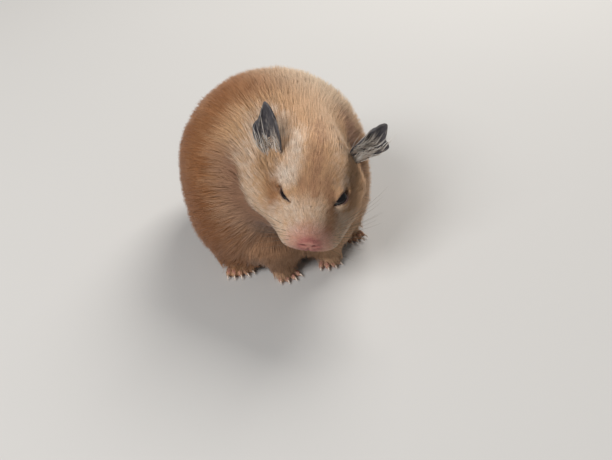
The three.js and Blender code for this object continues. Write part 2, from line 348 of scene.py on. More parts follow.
@dataclass(frozen=True)
class Ruff:
    """The edge of the cheeks and jaw, where the head's coat hangs over the body's.

    Attributes:
        forms: the middle and radii of each rounded form of the head, in millimetres on the head.
        blend: how widely the forms flow together, in millimetres.
        depth: how much further the skin goes in behind the edge, in millimetres.
    """

    forms: tuple[tuple[tuple[float, ...], tuple[float, ...]], ...] = (
        ((0.0, 12.0, 0.5), (15.2, 13.5, 11.6)),
        ((0.0, 0.5, 0.5), (8.2, 10.5, 7.8)),
        ((0.0, -5.0, -1.9), (7.4, 9.6, 6.2)),
        ((-4.5, -9.6, -6.9), (5.0, 5.0, 5.0)),
        ((4.5, -9.6, -6.9), (5.0, 5.0, 5.0)),
        ((0.0, -8.5, -9.5), (5.0, 6.0, 3.6)),
        ((-7.2, -0.6, -6.4), (6.4, 8.8, 7.0)),
        ((7.2, -0.6, -6.4), (6.4, 8.8, 7.0)),
        ((0.0, 6.0, -8.0), (12.0, 13.0, 7.0)),
        ((10.4, 7.1, -2.9), (7.6, 10.5, 8.4)),
        ((-12.7, 6.6, -2.4), (9.2, 12.0, 8.8)),
    )
    blend: float = 4.0
    depth: float = 2.2

    def beyond(self, points: Array) -> Array:
        """How far points are outside the head's forms, in millimetres."""
        on_head = HEAD.to_head(points)
        inside = np.full(len(points), -99.0)
        for middle, radii in self.forms:
            near = (on_head - middle) / radii
            length = np.linalg.norm(near, axis=1)
            depth = length * (1.0 - length) / np.linalg.norm(near / radii, axis=1)
            inside = soft_max(inside, depth, self.blend)
        return -inside

    def under(self, points: Array) -> Array:
        """How much points of the solids' surface are on the body just behind the edge, where the skin is
        drawn in and the coat gets painted shade.
        """
        beyond = self.beyond(points)
        low = ramp(HEAD.to_head(points)[:, 2], 6.0, 1.0)
        return ramp(beyond, 0.4, 1.8) * ramp(beyond, 8.0, 3.5) * low


RUFF = Ruff()


# ---------------------------------------------------------------- meshes
def mesh_object(name: str, mesh: bpy.types.Mesh) -> bpy.types.Object:
    """A mesh as a linked object at the origin."""
    made = bpy.data.objects.new(name, mesh)
    bpy.context.scene.collection.objects.link(made)
    return made


def applied(source: bpy.types.Object) -> bpy.types.Mesh:
    """An object's mesh with its modifiers applied; the object is removed."""
    bpy.context.view_layer.update()
    evaluated = source.evaluated_get(bpy.context.evaluated_depsgraph_get())
    mesh = bpy.data.meshes.new_from_object(evaluated)
    bpy.data.objects.remove(source)
    return mesh


def positions(mesh: bpy.types.Mesh) -> Array:
    """A mesh's vertices as an array."""
    flat = np.empty(len(mesh.vertices) * 3, np.float32)
    mesh.vertices.foreach_get("co", flat)
    return flat.reshape(-1, 3).astype(float)


def normals_of(mesh: bpy.types.Mesh) -> Array:
    """A mesh's vertex normals as an array."""
    flat = np.empty(len(mesh.vertices) * 3, np.float32)
    mesh.vertex_normals.foreach_get("vector", flat)
    return flat.reshape(-1, 3).astype(float)


def store_attribute(mesh: bpy.types.Mesh, name: str, values: Array) -> None:
    """Keeps one number for each vertex as an attribute."""
    kept = mesh.attributes.new(name, "FLOAT", "POINT")
    kept.data.foreach_set("value", values.astype(np.float32))


def read_attribute(mesh: bpy.types.Mesh, name: str) -> Array:
    """The numbers kept on a mesh's vertices as an attribute."""
    values = np.empty(len(mesh.vertices), np.float32)
    mesh.attributes[name].data.foreach_get("value", values)
    return values.astype(float)


def tree_of(points: Array) -> KDTree:
    """A tree that finds the nearest of many points."""
    tree = KDTree(len(points))
    for index, point in enumerate(points):
        tree.insert(point, index)
    tree.balance()
    return tree


def distance_to(points: Array, others: list[Array]) -> Array:
    """The distance of each point from the nearest of several sets of points, in metres."""
    tree = tree_of(np.concatenate(others))
    return np.array([tree.find(point)[2] for point in points])


def sharpness(mesh: bpy.types.Mesh) -> Array:
    """How sharply the surface turns at each vertex or beside it, 0 where it is flat."""
    normals = normals_of(mesh)
    ends = np.empty(len(mesh.edges) * 2, np.int32)
    mesh.edges.foreach_get("vertices", ends)
    first, second = ends.reshape(-1, 2).T
    turn = 1.0 - np.sum(normals[first] * normals[second], axis=1)
    sharp = np.zeros(len(normals))
    np.maximum.at(sharp, first, turn)
    np.maximum.at(sharp, second, turn)
    wide = sharp.copy()
    np.maximum.at(wide, first, sharp[second])
    np.maximum.at(wide, second, sharp[first])
    return wide


def set_positions(mesh: bpy.types.Mesh, points: Array) -> None:
    """Moves a mesh's vertices to an array of points."""
    mesh.vertices.foreach_set("co", points.astype(np.float32).ravel())
    mesh.update()


def node_mesh(nodes: list[str], swell: float) -> bpy.types.Mesh:
    """Copies of CAD nodes in one mesh, each pushed out a little so that they overlap.

    Args:
        nodes: names of the CAD nodes.
        swell: how far each copy's surface is pushed out, in metres.

    Returns:
        The joined mesh.
    """
    joined = bmesh.new()
    for name in nodes:
        part = bmesh.new()
        part.from_mesh(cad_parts[name].data)
        bmesh.ops.remove_doubles(part, verts=part.verts, dist=1e-6)
        part.normal_update()
        for vertex in part.verts:
            vertex.co += vertex.normal * swell
        copy = bpy.data.meshes.new(name)
        part.to_mesh(copy)
        part.free()
        joined.from_mesh(copy)
        bpy.data.meshes.remove(copy)
    mesh = bpy.data.meshes.new("joined")
    joined.to_mesh(mesh)
    joined.free()
    return mesh


def fused(nodes: list[str], voxel: float, smoothing: int, swell: float = 0.0002) -> bpy.types.Mesh:
    """CAD nodes fused into one even, smooth skin.

    Args:
        nodes: names of the CAD nodes.
        voxel: the size of the even mesh's squares, in metres.
        smoothing: rounds of smoothing.
        swell: how far each node is pushed out first, so that no gap is left between them.

    Returns:
        The fused mesh.
    """
    holder = mesh_object("fusing", node_mesh(nodes, swell))
    remesh = holder.modifiers.new("Even", "REMESH")
    remesh.mode = "VOXEL"
    remesh.voxel_size = voxel
    smooth = holder.modifiers.new("Smooth", "SMOOTH")
    smooth.factor = 0.5
    smooth.iterations = smoothing
    return applied(holder)


# ---------------------------------------------------------------- eyes and lids
@dataclass(frozen=True)
class Eye:
    """An eye and the opening of its lids.

    Attributes:
        side: the side of the head.
        gaze: the way that the eye looks, on the left of the head.
        slit: from the inner corner to the outer, on the left of the head.
        length: of the opening between its corners, in millimetres.
        opening: its greatest width, in millimetres.
        radius: of the eyeball, in millimetres.
        lid: how thick the lids are, in millimetres.
        tuck: how far the lids' edges go into the eyeball, in millimetres.
        reach: how far from the slit the lids are drawn apart, in millimetres.
    """

    side: Side
    gaze: tuple[float, float, float]
    slit: tuple[float, float, float]
    length: float
    opening: float
    radius: float = 3.2
    lid: float = 0.18
    tuck: float = 0.06
    reach: float = 4.6

    @property
    def middle(self) -> Array:
        """The eyeball's middle, in metres."""
        return centre_of(f"eye_{self.side.word}")

    @property
    def axes(self) -> Array:
        """Unit vectors along the slit, across it and along the gaze, as rows."""
        gaze = HEAD.direction(mirrored(np.array(self.gaze), self.side))
        along = HEAD.direction(mirrored(np.array(self.slit), self.side))
        along = unit(along - gaze * np.dot(along, gaze))
        return np.array([along, np.cross(gaze, along), gaze])

    def local(self, points: Array) -> Array:
        """Points in the eye's axes: along the slit, across it and outwards, in millimetres."""
        return (points - self.middle) @ self.axes.T / MM

    def to_row(self, places: Array) -> Array:
        """Places in the eye's axes, in millimetres, as points of the row's frame."""
        return self.middle + places * MM @ self.axes

    def half_width(self, along: Array) -> Array:
        """Half the width of the opening at places along the slit, in millimetres."""
        share = np.clip(1.0 - (2.0 * along / self.length) ** 2, 0.0, 1.0)
        return 0.5 * self.opening * share**0.75

    def lid_surface(self, places: Array) -> Array:
        """Places drawn out over the eyeball where they are near it, as a lid lies."""
        across = np.linalg.norm(places[:, :2], axis=1)
        shell = self.radius + self.lid
        dome = np.sqrt(np.maximum(shell**2 - across**2, 0.0))
        fade = ramp(across, shell + 1.4, shell - 0.6)
        lifted = soft_max(places[:, 2], dome, 1.0)
        settled = ramp(self.slit_distance(places), 1.3, 0.4)
        lifted = mix(lifted, dome, settled)
        raised = places.copy()
        raised[:, 2] = mix(places[:, 2], lifted, fade)
        return raised

    def slit_distance(self, places: Array) -> Array:
        """How far places in the eye's axes are from the line between its corners, in millimetres."""
        beyond = np.maximum(np.abs(places[:, 0]) - self.length / 2, 0.0)
        return np.hypot(beyond, places[:, 1])

    def open_lids(self, skin: bmesh.types.BMesh) -> None:
        """Lays the skin over the eyeball, slits it and draws the lids apart.

        Args:
            skin: the animal's skin.
        """
        axes = self.axes
        near = self._in_front(skin)
        self._lay(near)
        inside = set(near)
        faces = [f for f in skin.faces if all(v in inside for v in f.verts)]
        edges = list({e for f in faces for e in f.edges})
        cut = bmesh.ops.bisect_plane(
            skin, geom=near + edges + faces, plane_co=self.middle, plane_no=axes[1], dist=1e-7
        )
        crease = [g for g in cut["geom_cut"] if isinstance(g, bmesh.types.BMEdge)]
        ends = [self.local(np.array([v.co for v in e.verts])) for e in crease]
        slit = [e for e, p in zip(crease, ends)
                if np.abs(p[:, 0]).max() < self.length / 2 and p[:, 2].min() > 0]
        bmesh.ops.split_edges(skin, edges=slit)
        lids = self._in_front(skin)
        places = self.local(np.array([v.co for v in lids]))
        upper = np.array([self._side_of(v) for v in lids])
        share = np.clip(1.0 - np.abs(places[:, 1]) / self.reach, 0.0, 1.0) ** 2
        places[:, 1] += upper * self.half_width(places[:, 0]) * share
        places = self.lid_surface(places)
        for vertex, place in zip(lids, self.to_row(places)):
            vertex.co = place
        self._thicken(skin)

    def _in_front(self, skin: bmesh.types.BMesh) -> list[bmesh.types.BMVert]:
        """The skin's vertices near the eye and in front of its middle."""
        vertices = list(skin.verts)
        places = self.local(np.array([v.co for v in vertices]))
        wanted = (np.linalg.norm(places, axis=1) < 1.8 * self.reach) & (places[:, 2] > 0.0)
        return [vertices[index] for index in np.flatnonzero(wanted)]

    def _lay(self, near: list[bmesh.types.BMVert]) -> None:
        """Lays skin near the eye over the eyeball."""
        laid = self.to_row(self.lid_surface(self.local(np.array([v.co for v in near]))))
        for vertex, point in zip(near, laid):
            vertex.co = point

    def _side_of(self, vertex: bmesh.types.BMVert) -> float:
        """1 where a vertex is in the upper lid, and -1 in the lower."""
        faces = np.array([f.calc_center_median() for f in vertex.link_faces])
        return math.copysign(1.0, self.local(faces)[:, 1].mean())

    def _thicken(self, skin: bmesh.types.BMesh) -> None:
        """Turns the lids' edges inwards to the eyeball."""
        middle = Vector(self.middle)
        near = 1.5 * self.reach * MM
        rim = [e for e in skin.edges if e.is_boundary and (e.verts[0].co - middle).length < near]
        turned = bmesh.ops.extrude_edge_only(skin, edges=rim)
        for vertex in (g for g in turned["geom"] if isinstance(g, bmesh.types.BMVert)):
            inward = unit(np.array(vertex.co) - self.middle)
            vertex.co = self.middle + inward * (self.radius - self.tuck) * MM

    def rim_distance(self, points: Array) -> Array:
        """How far points are outside the opening of the lids, in millimetres, or inside it if negative."""
        places = self.local(points)
        beyond = np.maximum(np.abs(places[:, 0]) - self.length / 2, 0.0)
        across = np.abs(places[:, 1]) - self.half_width(places[:, 0])
        outside = np.hypot(beyond, np.maximum(across, 0.0))
        distance = np.where(outside > 0.0, outside, across)
        return np.where(places[:, 2] > 0.0, distance, 99.0)

    def ball(self) -> bpy.types.Object:
        """The eyeball, a fine sphere that replaces the CAD one."""
        ball = bmesh.new()
        place = Matrix.Translation(Vector(self.middle))
        bmesh.ops.create_icosphere(ball, subdivisions=5, radius=self.radius * MM, matrix=place)
        mesh = bpy.data.meshes.new(f"eyeball_{self.side.word}")
        ball.to_mesh(mesh)
        ball.free()
        mesh.shade_smooth()
        made = mesh_object(f"eyeball_{self.side.word}", mesh)
        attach(made, "root")
        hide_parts(f"eye_{self.side.word}")
        return made


EYES = {
    Side.LEFT: Eye(Side.LEFT, gaze=(0.524, -0.323, 0.788), slit=(0.544, 0.839, -0.023),
                   length=5.9, opening=2.7),
    Side.RIGHT: Eye(Side.RIGHT, gaze=(0.604, -0.421, 0.667), slit=(0.56, 0.828, 0.017),
                    length=5.2, opening=1.1),
}


# ---------------------------------------------------------------- markings, and the light and shade painted with them
@dataclass(frozen=True)
class Markings:
    """Masks of the coat's colours and of the light and shade painted on it, from 0 to 1, the same for the
    skin and the hairs that grow on it.

    Places are millimetres on the head. All but the tuft and the inner corner stand for both sides.

    Attributes:
        above_eye: the pale patch above each eye.
        below_eye: the pale patch below each eye.
        tuft: the pale tuft under the right ear.
        inner_corner: the left eye's inner corner.
        inner_line: the way that a brown line runs from there, down beside the nose.
        band: the middle of the orange band outside each eye.
        band_line: the way that the band runs.
    """

    above_eye: tuple[float, float, float] = (8.6, 2.0, 5.6)
    below_eye: tuple[float, float, float] = (6.2, -5.8, 2.6)
    tuft: tuple[float, float, float] = (-17.6, 9.6, 6.0)
    inner_corner: tuple[float, float, float] = (4.6, -3.0, 5.6)
    # inner_line: the way that a brown line runs from there, down beside the nose; it is partly the coat's own
    # brown and partly painted shade on that side of the muzzle.
    inner_line: tuple[float, float, float] = (1.1, -8.2, -5.6)
    band: tuple[float, float, float] = (11.2, -1.8, 2.4)
    band_line: tuple[float, float, float] = (0.3, 8.0, 5.6)

    def masks(self, points: Array) -> dict[str, Array]:
        """The masks at points on the skin.

        Args:
            points: places on the skin, in metres.

        Returns:
            One array for each marking but "fold", the painted shade behind the cheeks and jaw, which comes
            from the skin's shape.
        """
        on_head = HEAD.to_head(points)
        head, tail = REGIONS.head(points), REGIONS.tail(points)
        y, z = on_head[:, 1], on_head[:, 2]
        left, back, up = (points / MM).T
        from_nose = from_point(on_head, NOSE_TIP, (1.0, 1.0, 1.15))
        pink = (0.6 * ramp(from_nose, 10.0, 4.0) + 0.4 * ramp(from_nose, 4.5, 2.5)) * head
        cheek = bell(from_line(folded(on_head), self.band, self.band_line, -5.0, 5.0), 2.1)
        # flank: the coat's own deeper orange on the flanks, made strongest on the right side by painted shade
        flank = 0.85 * ramp(left, 20.0, -14.0) + 0.15 * ramp(left, -12.0, -26.0)
        flank = flank * (1.0 - head) * ramp(up, 3.0, 8.0)
        belly = ramp(up, 9.0, 2.0) * ramp(np.abs(left), 26.0, 12.0)
        chest = 0.35 * ramp(back, -14.0, -26.0) * ramp(up, 32.0, 18.0) * (1.0 - head)
        chin = ramp(z, -8.0, -11.0) * ramp(y, 16.0, 6.0) * head
        rims = [bell(np.maximum(eye.rim_distance(points), 0.0), 0.3) for eye in EYES.values()]
        return {
            "pink": np.maximum(pink, 0.3 * tail),
            "pale": self._pale(on_head, RUFF.beyond(points)) * head,
            "streak": self._streak(on_head) * head,
            "orange": np.maximum(0.7 * cheek * head, flank),
            "belly": np.maximum.reduce([belly, chin, chest, 0.9 * tail]),
            # dome: painted light, paler towards the top of the back and its left side, less on the head
            "dome": ramp(left, -12.0, 16.0) * ramp(up, 34.0, 58.0) * (1.0 - 0.5 * head),
            "rim": np.max(rims, axis=0),
        }

    def _pale(self, on_head: Array, beyond: Array) -> Array:
        """The face's pale marks, at places on the head that are `beyond` its forms, with painted light making
        those above the eyes and the brows paler on the head's right.
        """
        x, y = on_head[:, 0], on_head[:, 1]
        either = folded(on_head)
        muzzle = ramp(y, -1.0, -7.0)
        above_eye = bell(from_point(either, self.above_eye), 3.0)
        below_eye = bell(from_point(either, self.below_eye), 2.8)
        under_ear = bell(from_point(either, EAR_ROOT) - 2.0, 4.0)
        tuft = bell(from_point(on_head, self.tuft), 3.2)
        fringe = ramp(either[:, 0], 12.5, 15.5) * ramp(y, 13.0, 8.0) * ramp(beyond, 0.8, -0.8)
        brow = bell(np.abs(x) - 6.0, 2.8) * ramp(y, -2.0, 2.0) * ramp(y, 16.0, 9.0)
        # the pale patches above the eyes and the brows are the coat's own; their extra paleness on the head's
        # right is painted light
        paler_right = 0.35 + 0.65 * ramp(x, 4.0, -4.0)
        return np.maximum.reduce([0.45 * muzzle, paler_right * above_eye, 0.8 * below_eye, 0.6 * under_ear,
                                  0.95 * tuft, 0.4 * fringe, 0.7 * paler_right * brow])

    def _streak(self, on_head: Array) -> Array:
        """The forehead's brown streak, the marks inside the eyes and the line beside the nose, which is
        partly painted shade.
        """
        x, y = on_head[:, 0], on_head[:, 1]
        middle = bell(x, 2.2) * ramp(y, -8.0, -3.0) * (0.8 + 0.2 * ramp(y, 6.0, 0.0))
        beside = bell(np.abs(x) - 3.2, 1.5) * bell(y + 2.0, 4.0)
        # the line beside the nose is on the left only: partly brown fur, partly painted shade
        inner = bell(from_line(on_head, self.inner_corner, self.inner_line, 0.0, 9.5), 2.2)
        return np.maximum(np.maximum(middle, beside) * ramp(y, 18.0, 12.0), inner)

    def store(self, mesh: bpy.types.Mesh, masks: dict[str, Array]) -> None:
        """Keeps masks on a mesh's vertices as attributes."""
        for name, values in masks.items():
            store_attribute(mesh, name, values)


MARKINGS = Markings()


# ---------------------------------------------------------------- the skin
@dataclass(frozen=True)
class Muzzle:
    """The nostrils, lip groove and mouth, in millimetres of the head's frame.

    Attributes:
        nostril: the middle of the left nostril.
        nostril_radii: how far it reaches each way.
        nostril_depth: how far it is pressed in.
        wing: the middle of the slot outside the left nostril.
        wing_radii: how far the slot reaches each way.
        wing_depth: how far it is pressed in.
        groove_depth: of the groove from the nose to the lip.
        mouth_depth: of the line between the lips.
        mouth_level: the height of that line at its middle.
    """

    nostril: tuple[float, float, float] = (1.5, -14.7, -3.6)
    nostril_radii: tuple[float, float, float] = (0.7, 0.9, 0.55)
    nostril_depth: float = 0.75
    wing: tuple[float, float, float] = (2.3, -14.3, -3.9)
    wing_radii: tuple[float, float, float] = (0.8, 1.2, 0.35)
    wing_depth: float = 0.3
    groove_depth: float = 0.4
    mouth_depth: float = 0.5
    mouth_level: float = -8.6

    def dent(self, on_head: Array) -> Array:
        """How far the skin is pressed in at places on the head, in millimetres."""
        x, y, z = on_head.T
        front = ramp(y, -9.0, -12.0)
        either = folded(on_head)
        nostrils = self.nostril_depth * bell(from_point(either, self.nostril, self.nostril_radii), 1.0)
        slots = self.wing_depth * bell(from_point(either, self.wing, self.wing_radii), 1.0)
        groove = self.groove_depth * bell(x, 0.4) * ramp(z, -4.0, -4.8) * ramp(z, -9.4, -8.4) * front
        mouth = self.mouth_depth * bell(z - self.mouth_level + 0.05 * x * x, 0.45) * ramp(y, -5.0, -8.0)
        return nostrils + slots + groove + mouth * ramp(np.abs(x), 6.5, 4.5)


@dataclass
class Ear:
    """One ear: a thin, crumpled leaf whose base grows out of the head.

    Attributes:
        side: the side of the head.
        pleats: folds across the leaf.
        pleat_height: how far the folds stand out, in millimetres.
    """

    side: Side
    pleats: float = 1.9
    pleat_height: float = 0.3

    def leaf(self) -> bpy.types.Mesh:
        """The CAD leaf as a fine, smooth mesh with its folds."""
        holder = mesh_object("leaf", node_mesh([f"ear_{self.side.word}"], 0.0))
        fine = holder.modifiers.new("Fine", "SUBSURF")
        fine.levels = fine.render_levels = 3
        mesh = applied(holder)
        points = positions(mesh)
        on_head = HEAD.to_head(points)
        root = on_head[np.argsort(on_head[:, 2])[: len(on_head) // 12]].mean(axis=0)
        rise = unit(on_head[np.argmax(np.linalg.norm(on_head - root, axis=1))] - root)
        along = (on_head - root) @ rise
        width = on_head @ unit(np.cross(rise, (0.0, -1.0, 0.3)))
        share = np.clip(along / along.max(), 0.0, 1.0)
        wave = np.sin(self.pleats * width + 1.4 * np.sin(0.45 * along + self.side.value))
        wave = (wave + 0.35 * np.sin(4.7 * width - 0.8 * along)) * bell(share - 0.5, 0.4)
        away = HEAD.direction(unit(np.cross(rise, np.cross((0.0, -1.0, 0.3), rise)))[None])
        points = points + away * (self.pleat_height * wave * MM)[:, None]
        set_positions(mesh, points)
        return mesh


@dataclass
class Skin:
    """The whole animal's skin, one closed surface a coat's depth inside the solids.

    Attributes:
        voxel: the size of the fused mesh's squares, in metres.
        smoothing: rounds of smoothing after the skin is drawn in.
        more_smoothing: more rounds, where the crown runs into the back and beside the eyes.
        foot_voxel: the size of the feet's squares, in metres.
        flesh: the CAD nodes that are fused first.
        feet: the CAD nodes that join them as feet.
        ears: the CAD nodes whose leaves join them as ears.
        ear_root: how far the ears go down through the coat, in millimetres.
        lower_edge: the way that the left ear's lower edge faces, on the head.
        folded_up: the share of its reach that way which is folded up.
        foot_edge: how far from the feet the body's skin starts to be drawn in, and is so in full, in metres.
        temple: the middle of the hollow between the left eye and ear, in millimetres on the head.
        finer: how far round an eye and round the nose each division goes, in millimetres.
        drawn_points: the body's skin before the feet and ears join it.
        drawn_folds: how much each of those points is in the fold behind the cheeks and jaw.
        mesh: the finished skin.
    """

    voxel: float = 0.0008
    smoothing: int = 6
    more_smoothing: int = 260
    foot_voxel: float = 0.0003
    flesh: tuple[str, ...] = ("trunk", "neck", "head", "nose", "tail", "eye_left", "eye_right",
                              "hind_leg_left", "hind_leg_right", "fore_leg_left", "fore_leg_right")
    feet: tuple[str, ...] = ("hind_foot_left", "hind_foot_right", "fore_foot_left", "fore_foot_right")
    ears: tuple[str, ...] = ("ear_left", "ear_right")
    ear_root: float = 6.5
    lower_edge: tuple[float, float, float] = (0.09, -0.905, -0.417)
    folded_up: float = 0.6
    foot_edge: tuple[float, float] = (0.0002, 0.0022)
    temple: tuple[float, float, float] = (12.5, 6.0, 6.5)
    finer: tuple[tuple[float, float], ...] = ((8.0, 9.0), (5.4, 5.6))
    drawn_points: Array = field(init=False)
    drawn_folds: Array = field(init=False)
    mesh: bpy.types.Mesh = field(init=False)

    def build(self) -> bpy.types.Object:
        """Makes the skin.

        Returns:
            The skin's object, which replaces the CAD's flesh.
        """
        body = self._body()
        log.info("skin: body %d vertices", len(body.vertices))
        whole = self._with_limbs(body)
        log.info("skin: with feet and ears %d vertices", len(whole.vertices))
        self.mesh = self._with_face(whole)
        log.info("skin: with lids %d vertices", len(self.mesh.vertices))
        self._finish()
        made = mesh_object("skin", self.mesh)
        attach(made, "root")
        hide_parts(*(name for name in self.flesh if not name.startswith("eye")), *self.feet,
                    *self.ears)
        return made

    def _body(self) -> bpy.types.Mesh:
        """The trunk, head and legs, fused and drawn in by the coat's depth."""
        mesh = fused(list(self.flesh), self.voxel, smoothing=3)
        points = positions(mesh)
        normals = normals_of(mesh)
        # fold: the body just behind the cheeks and jaw, drawn in here; the same mask paints shade on the coat
        # there
        fold = RUFF.under(points)
        depth = PELAGE.depth(points) * self._clear_of_feet(points) + RUFF.depth * MM * fold
        set_positions(mesh, points - normals * depth[:, None])
        holder = mesh_object("drawn", mesh)
        softer = self._softer(points)
        group = holder.vertex_groups.new(name="softer")
        for index in np.flatnonzero(softer > 0.01):
            group.add([int(index)], float(softer[index]), "REPLACE")
        for rounds, where in ((self.smoothing, ""), (self.more_smoothing, "softer")):
            smooth = holder.modifiers.new("Smooth", "SMOOTH")
            smooth.factor, smooth.iterations, smooth.vertex_group = 0.5, rounds, where
        drawn = applied(holder)
        self.drawn_points, self.drawn_folds = positions(drawn), fold
        return drawn

    def _softer(self, points: Array) -> Array:
        """How much points are where the crown runs into the back, or between an eye and its cheek."""
        on_head = HEAD.to_head(points)
        nape = ramp(on_head[:, 1], 7.0, 14.0) * ramp(on_head[:, 2], -6.0, 1.0)
        nape = nape * ramp(RUFF.beyond(points), 14.0, 9.0)
        temple = bell(from_point(folded(on_head), self.temple), 7.0)
        temple = temple * ramp(REGIONS.eyes(points), 4.6, 7.0)
        return np.maximum(nape, temple)

    def _clear_of_feet(self, points: Array) -> Array:
        """1 away from the feet, falling to 0 where they grow out of the body."""
        feet = [positions(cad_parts[name].data) for name in self.feet]
        return ramp(distance_to(points, feet), *self.foot_edge)

    def _with_limbs(self, body: bpy.types.Mesh) -> bpy.types.Mesh:
        """The body joined with the feet and ears in one surface."""
        holder = mesh_object("body", body)
        feet = [mesh_object(name, fused([name], self.foot_voxel, smoothing=2, swell=0.0))
                for name in self.feet]
        leaves = [mesh_object(f"leaf_{side.word}", self._rooted(Ear(side).leaf())) for side in Side]
        extras = feet + leaves
        for extra in extras:
            join = holder.modifiers.new(extra.name, "BOOLEAN")
            join.operation = "UNION"
            join.solver = "MANIFOLD"
            join.object = extra
        whole = applied(holder)
        points = positions(whole)
        on_ears = distance_to(points, [positions(leaf.data) for leaf in leaves])
        on_feet = distance_to(points, [positions(foot.data) for foot in feet])
        rim = np.clip(5.0 * sharpness(whole), 0.0, 1.0)
        tree = tree_of(self.drawn_points)
        store_attribute(whole, "fold", self.drawn_folds[[tree.find(point)[1] for point in points]])
        store_attribute(whole, "clear", ramp(on_feet, *self.foot_edge))
        store_attribute(whole, "by_ear", ramp(on_ears, 0.005, 0.0006))
        store_attribute(whole, "ear", ramp(on_ears, 0.0008, 0.0002))
        store_attribute(whole, "foot", ramp(on_feet, 0.0008, 0.0002))
        store_attribute(whole, "ear_rim", 0.35 * rim * ramp(on_ears, 0.0003, 0.0001))
        for extra in extras:
            bpy.data.objects.remove(extra)
        return whole

    def _rooted(self, leaf: bpy.types.Mesh) -> bpy.types.Mesh:
        """An ear whose base goes down through the coat into the head, the left one's lower edge folded up."""
        on_head = HEAD.to_head(positions(leaf))
        is_left = on_head[:, 0].mean() > 0
        if is_left:
            below = np.maximum((on_head - EAR_ROOT) @ np.array(self.lower_edge) + 2.0, 0.0)
            on_head = on_head - np.outer(self.folded_up * below, self.lower_edge)
        low = on_head[:, 2].min()
        pull = ramp(on_head[:, 2], low + 4.0, low)[:, None]
        rise = unit(np.array(PELAGE.ear_rise[0 if is_left else 1]))
        middle = on_head[pull[:, 0] > 0.5].mean(axis=0)
        across = on_head - middle - np.outer((on_head - middle) @ rise, rise)
        set_positions(leaf, HEAD.to_row(on_head - 0.45 * pull * across - rise * pull * self.ear_root))
        return leaf

    def _with_face(self, mesh: bpy.types.Mesh) -> bpy.types.Mesh:
        """Finer skin round the eyes and muzzle, with the lids opened."""
        skin = bmesh.new()
        skin.from_mesh(mesh)
        for reach, muzzle_reach in self.finer:
            bmesh.ops.triangulate(skin, faces=[f for f in skin.faces if len(f.verts) > 4])
            self._refine(skin, reach, muzzle_reach)
        self._press_muzzle(skin)
        for eye in EYES.values():
            eye.open_lids(skin)
        faced = bpy.data.meshes.new("skin")
        skin.to_mesh(faced)
        skin.free()
        return faced

    def _refine(self, skin: bmesh.types.BMesh, eye_reach: float, muzzle_reach: float) -> None:
        """Divides the skin's faces near the eyes and nose, and evens them out."""
        skin.verts.ensure_lookup_table()
        points = np.array([v.co for v in skin.verts])
        nose = from_point(HEAD.to_head(points), NOSE_TIP)
        wanted = (REGIONS.eyes(points) < eye_reach) | (nose < muzzle_reach)
        skin.verts.index_update()
        edges = [e for e in skin.edges if wanted[e.verts[0].index] and wanted[e.verts[1].index]]
        divided = bmesh.ops.subdivide_edges(skin, edges=edges, cuts=1, use_grid_fill=True, smooth=0.6)
        fresh = list({g for g in divided["geom"] if isinstance(g, bmesh.types.BMVert)})
        for _ in range(3):
            bmesh.ops.smooth_vert(skin, verts=fresh, factor=0.5,
                                  use_axis_x=True, use_axis_y=True, use_axis_z=True)

    def _press_muzzle(self, skin: bmesh.types.BMesh) -> None:
        """Presses the nostrils, the lip groove and the mouth into the skin."""
        skin.normal_update()
        dents = Muzzle().dent(HEAD.to_head(np.array([v.co for v in skin.verts])))
        for vertex, dent in zip(skin.verts, dents):
            if dent > 0.01:
                vertex.co -= vertex.normal * float(dent) * MM

    def _finish(self) -> None:
        """Shades the skin smooth, unwraps it and stores the masks of its markings."""
        self.mesh.shade_smooth()
        unwrap(self.mesh)
        MARKINGS.store(self.mesh, MARKINGS.masks(positions(self.mesh)))


def unwrap(mesh: bpy.types.Mesh) -> None:
    """Unwraps a mesh by its own shape into the OFBake map."""
    mesh.uv_layers.new(name="OFBake")
    holder = mesh_object("unwrapping", mesh)
    bpy.ops.object.select_all(action="DESELECT")
    holder.select_set(True)
    bpy.context.view_layer.objects.active = holder
    bpy.ops.object.mode_set(mode="EDIT")
    bpy.ops.mesh.select_all(action="SELECT")
    bpy.ops.uv.smart_project(angle_limit=math.radians(66), island_margin=0.003)
    bpy.ops.object.mode_set(mode="OBJECT")
    bpy.data.objects.remove(holder)


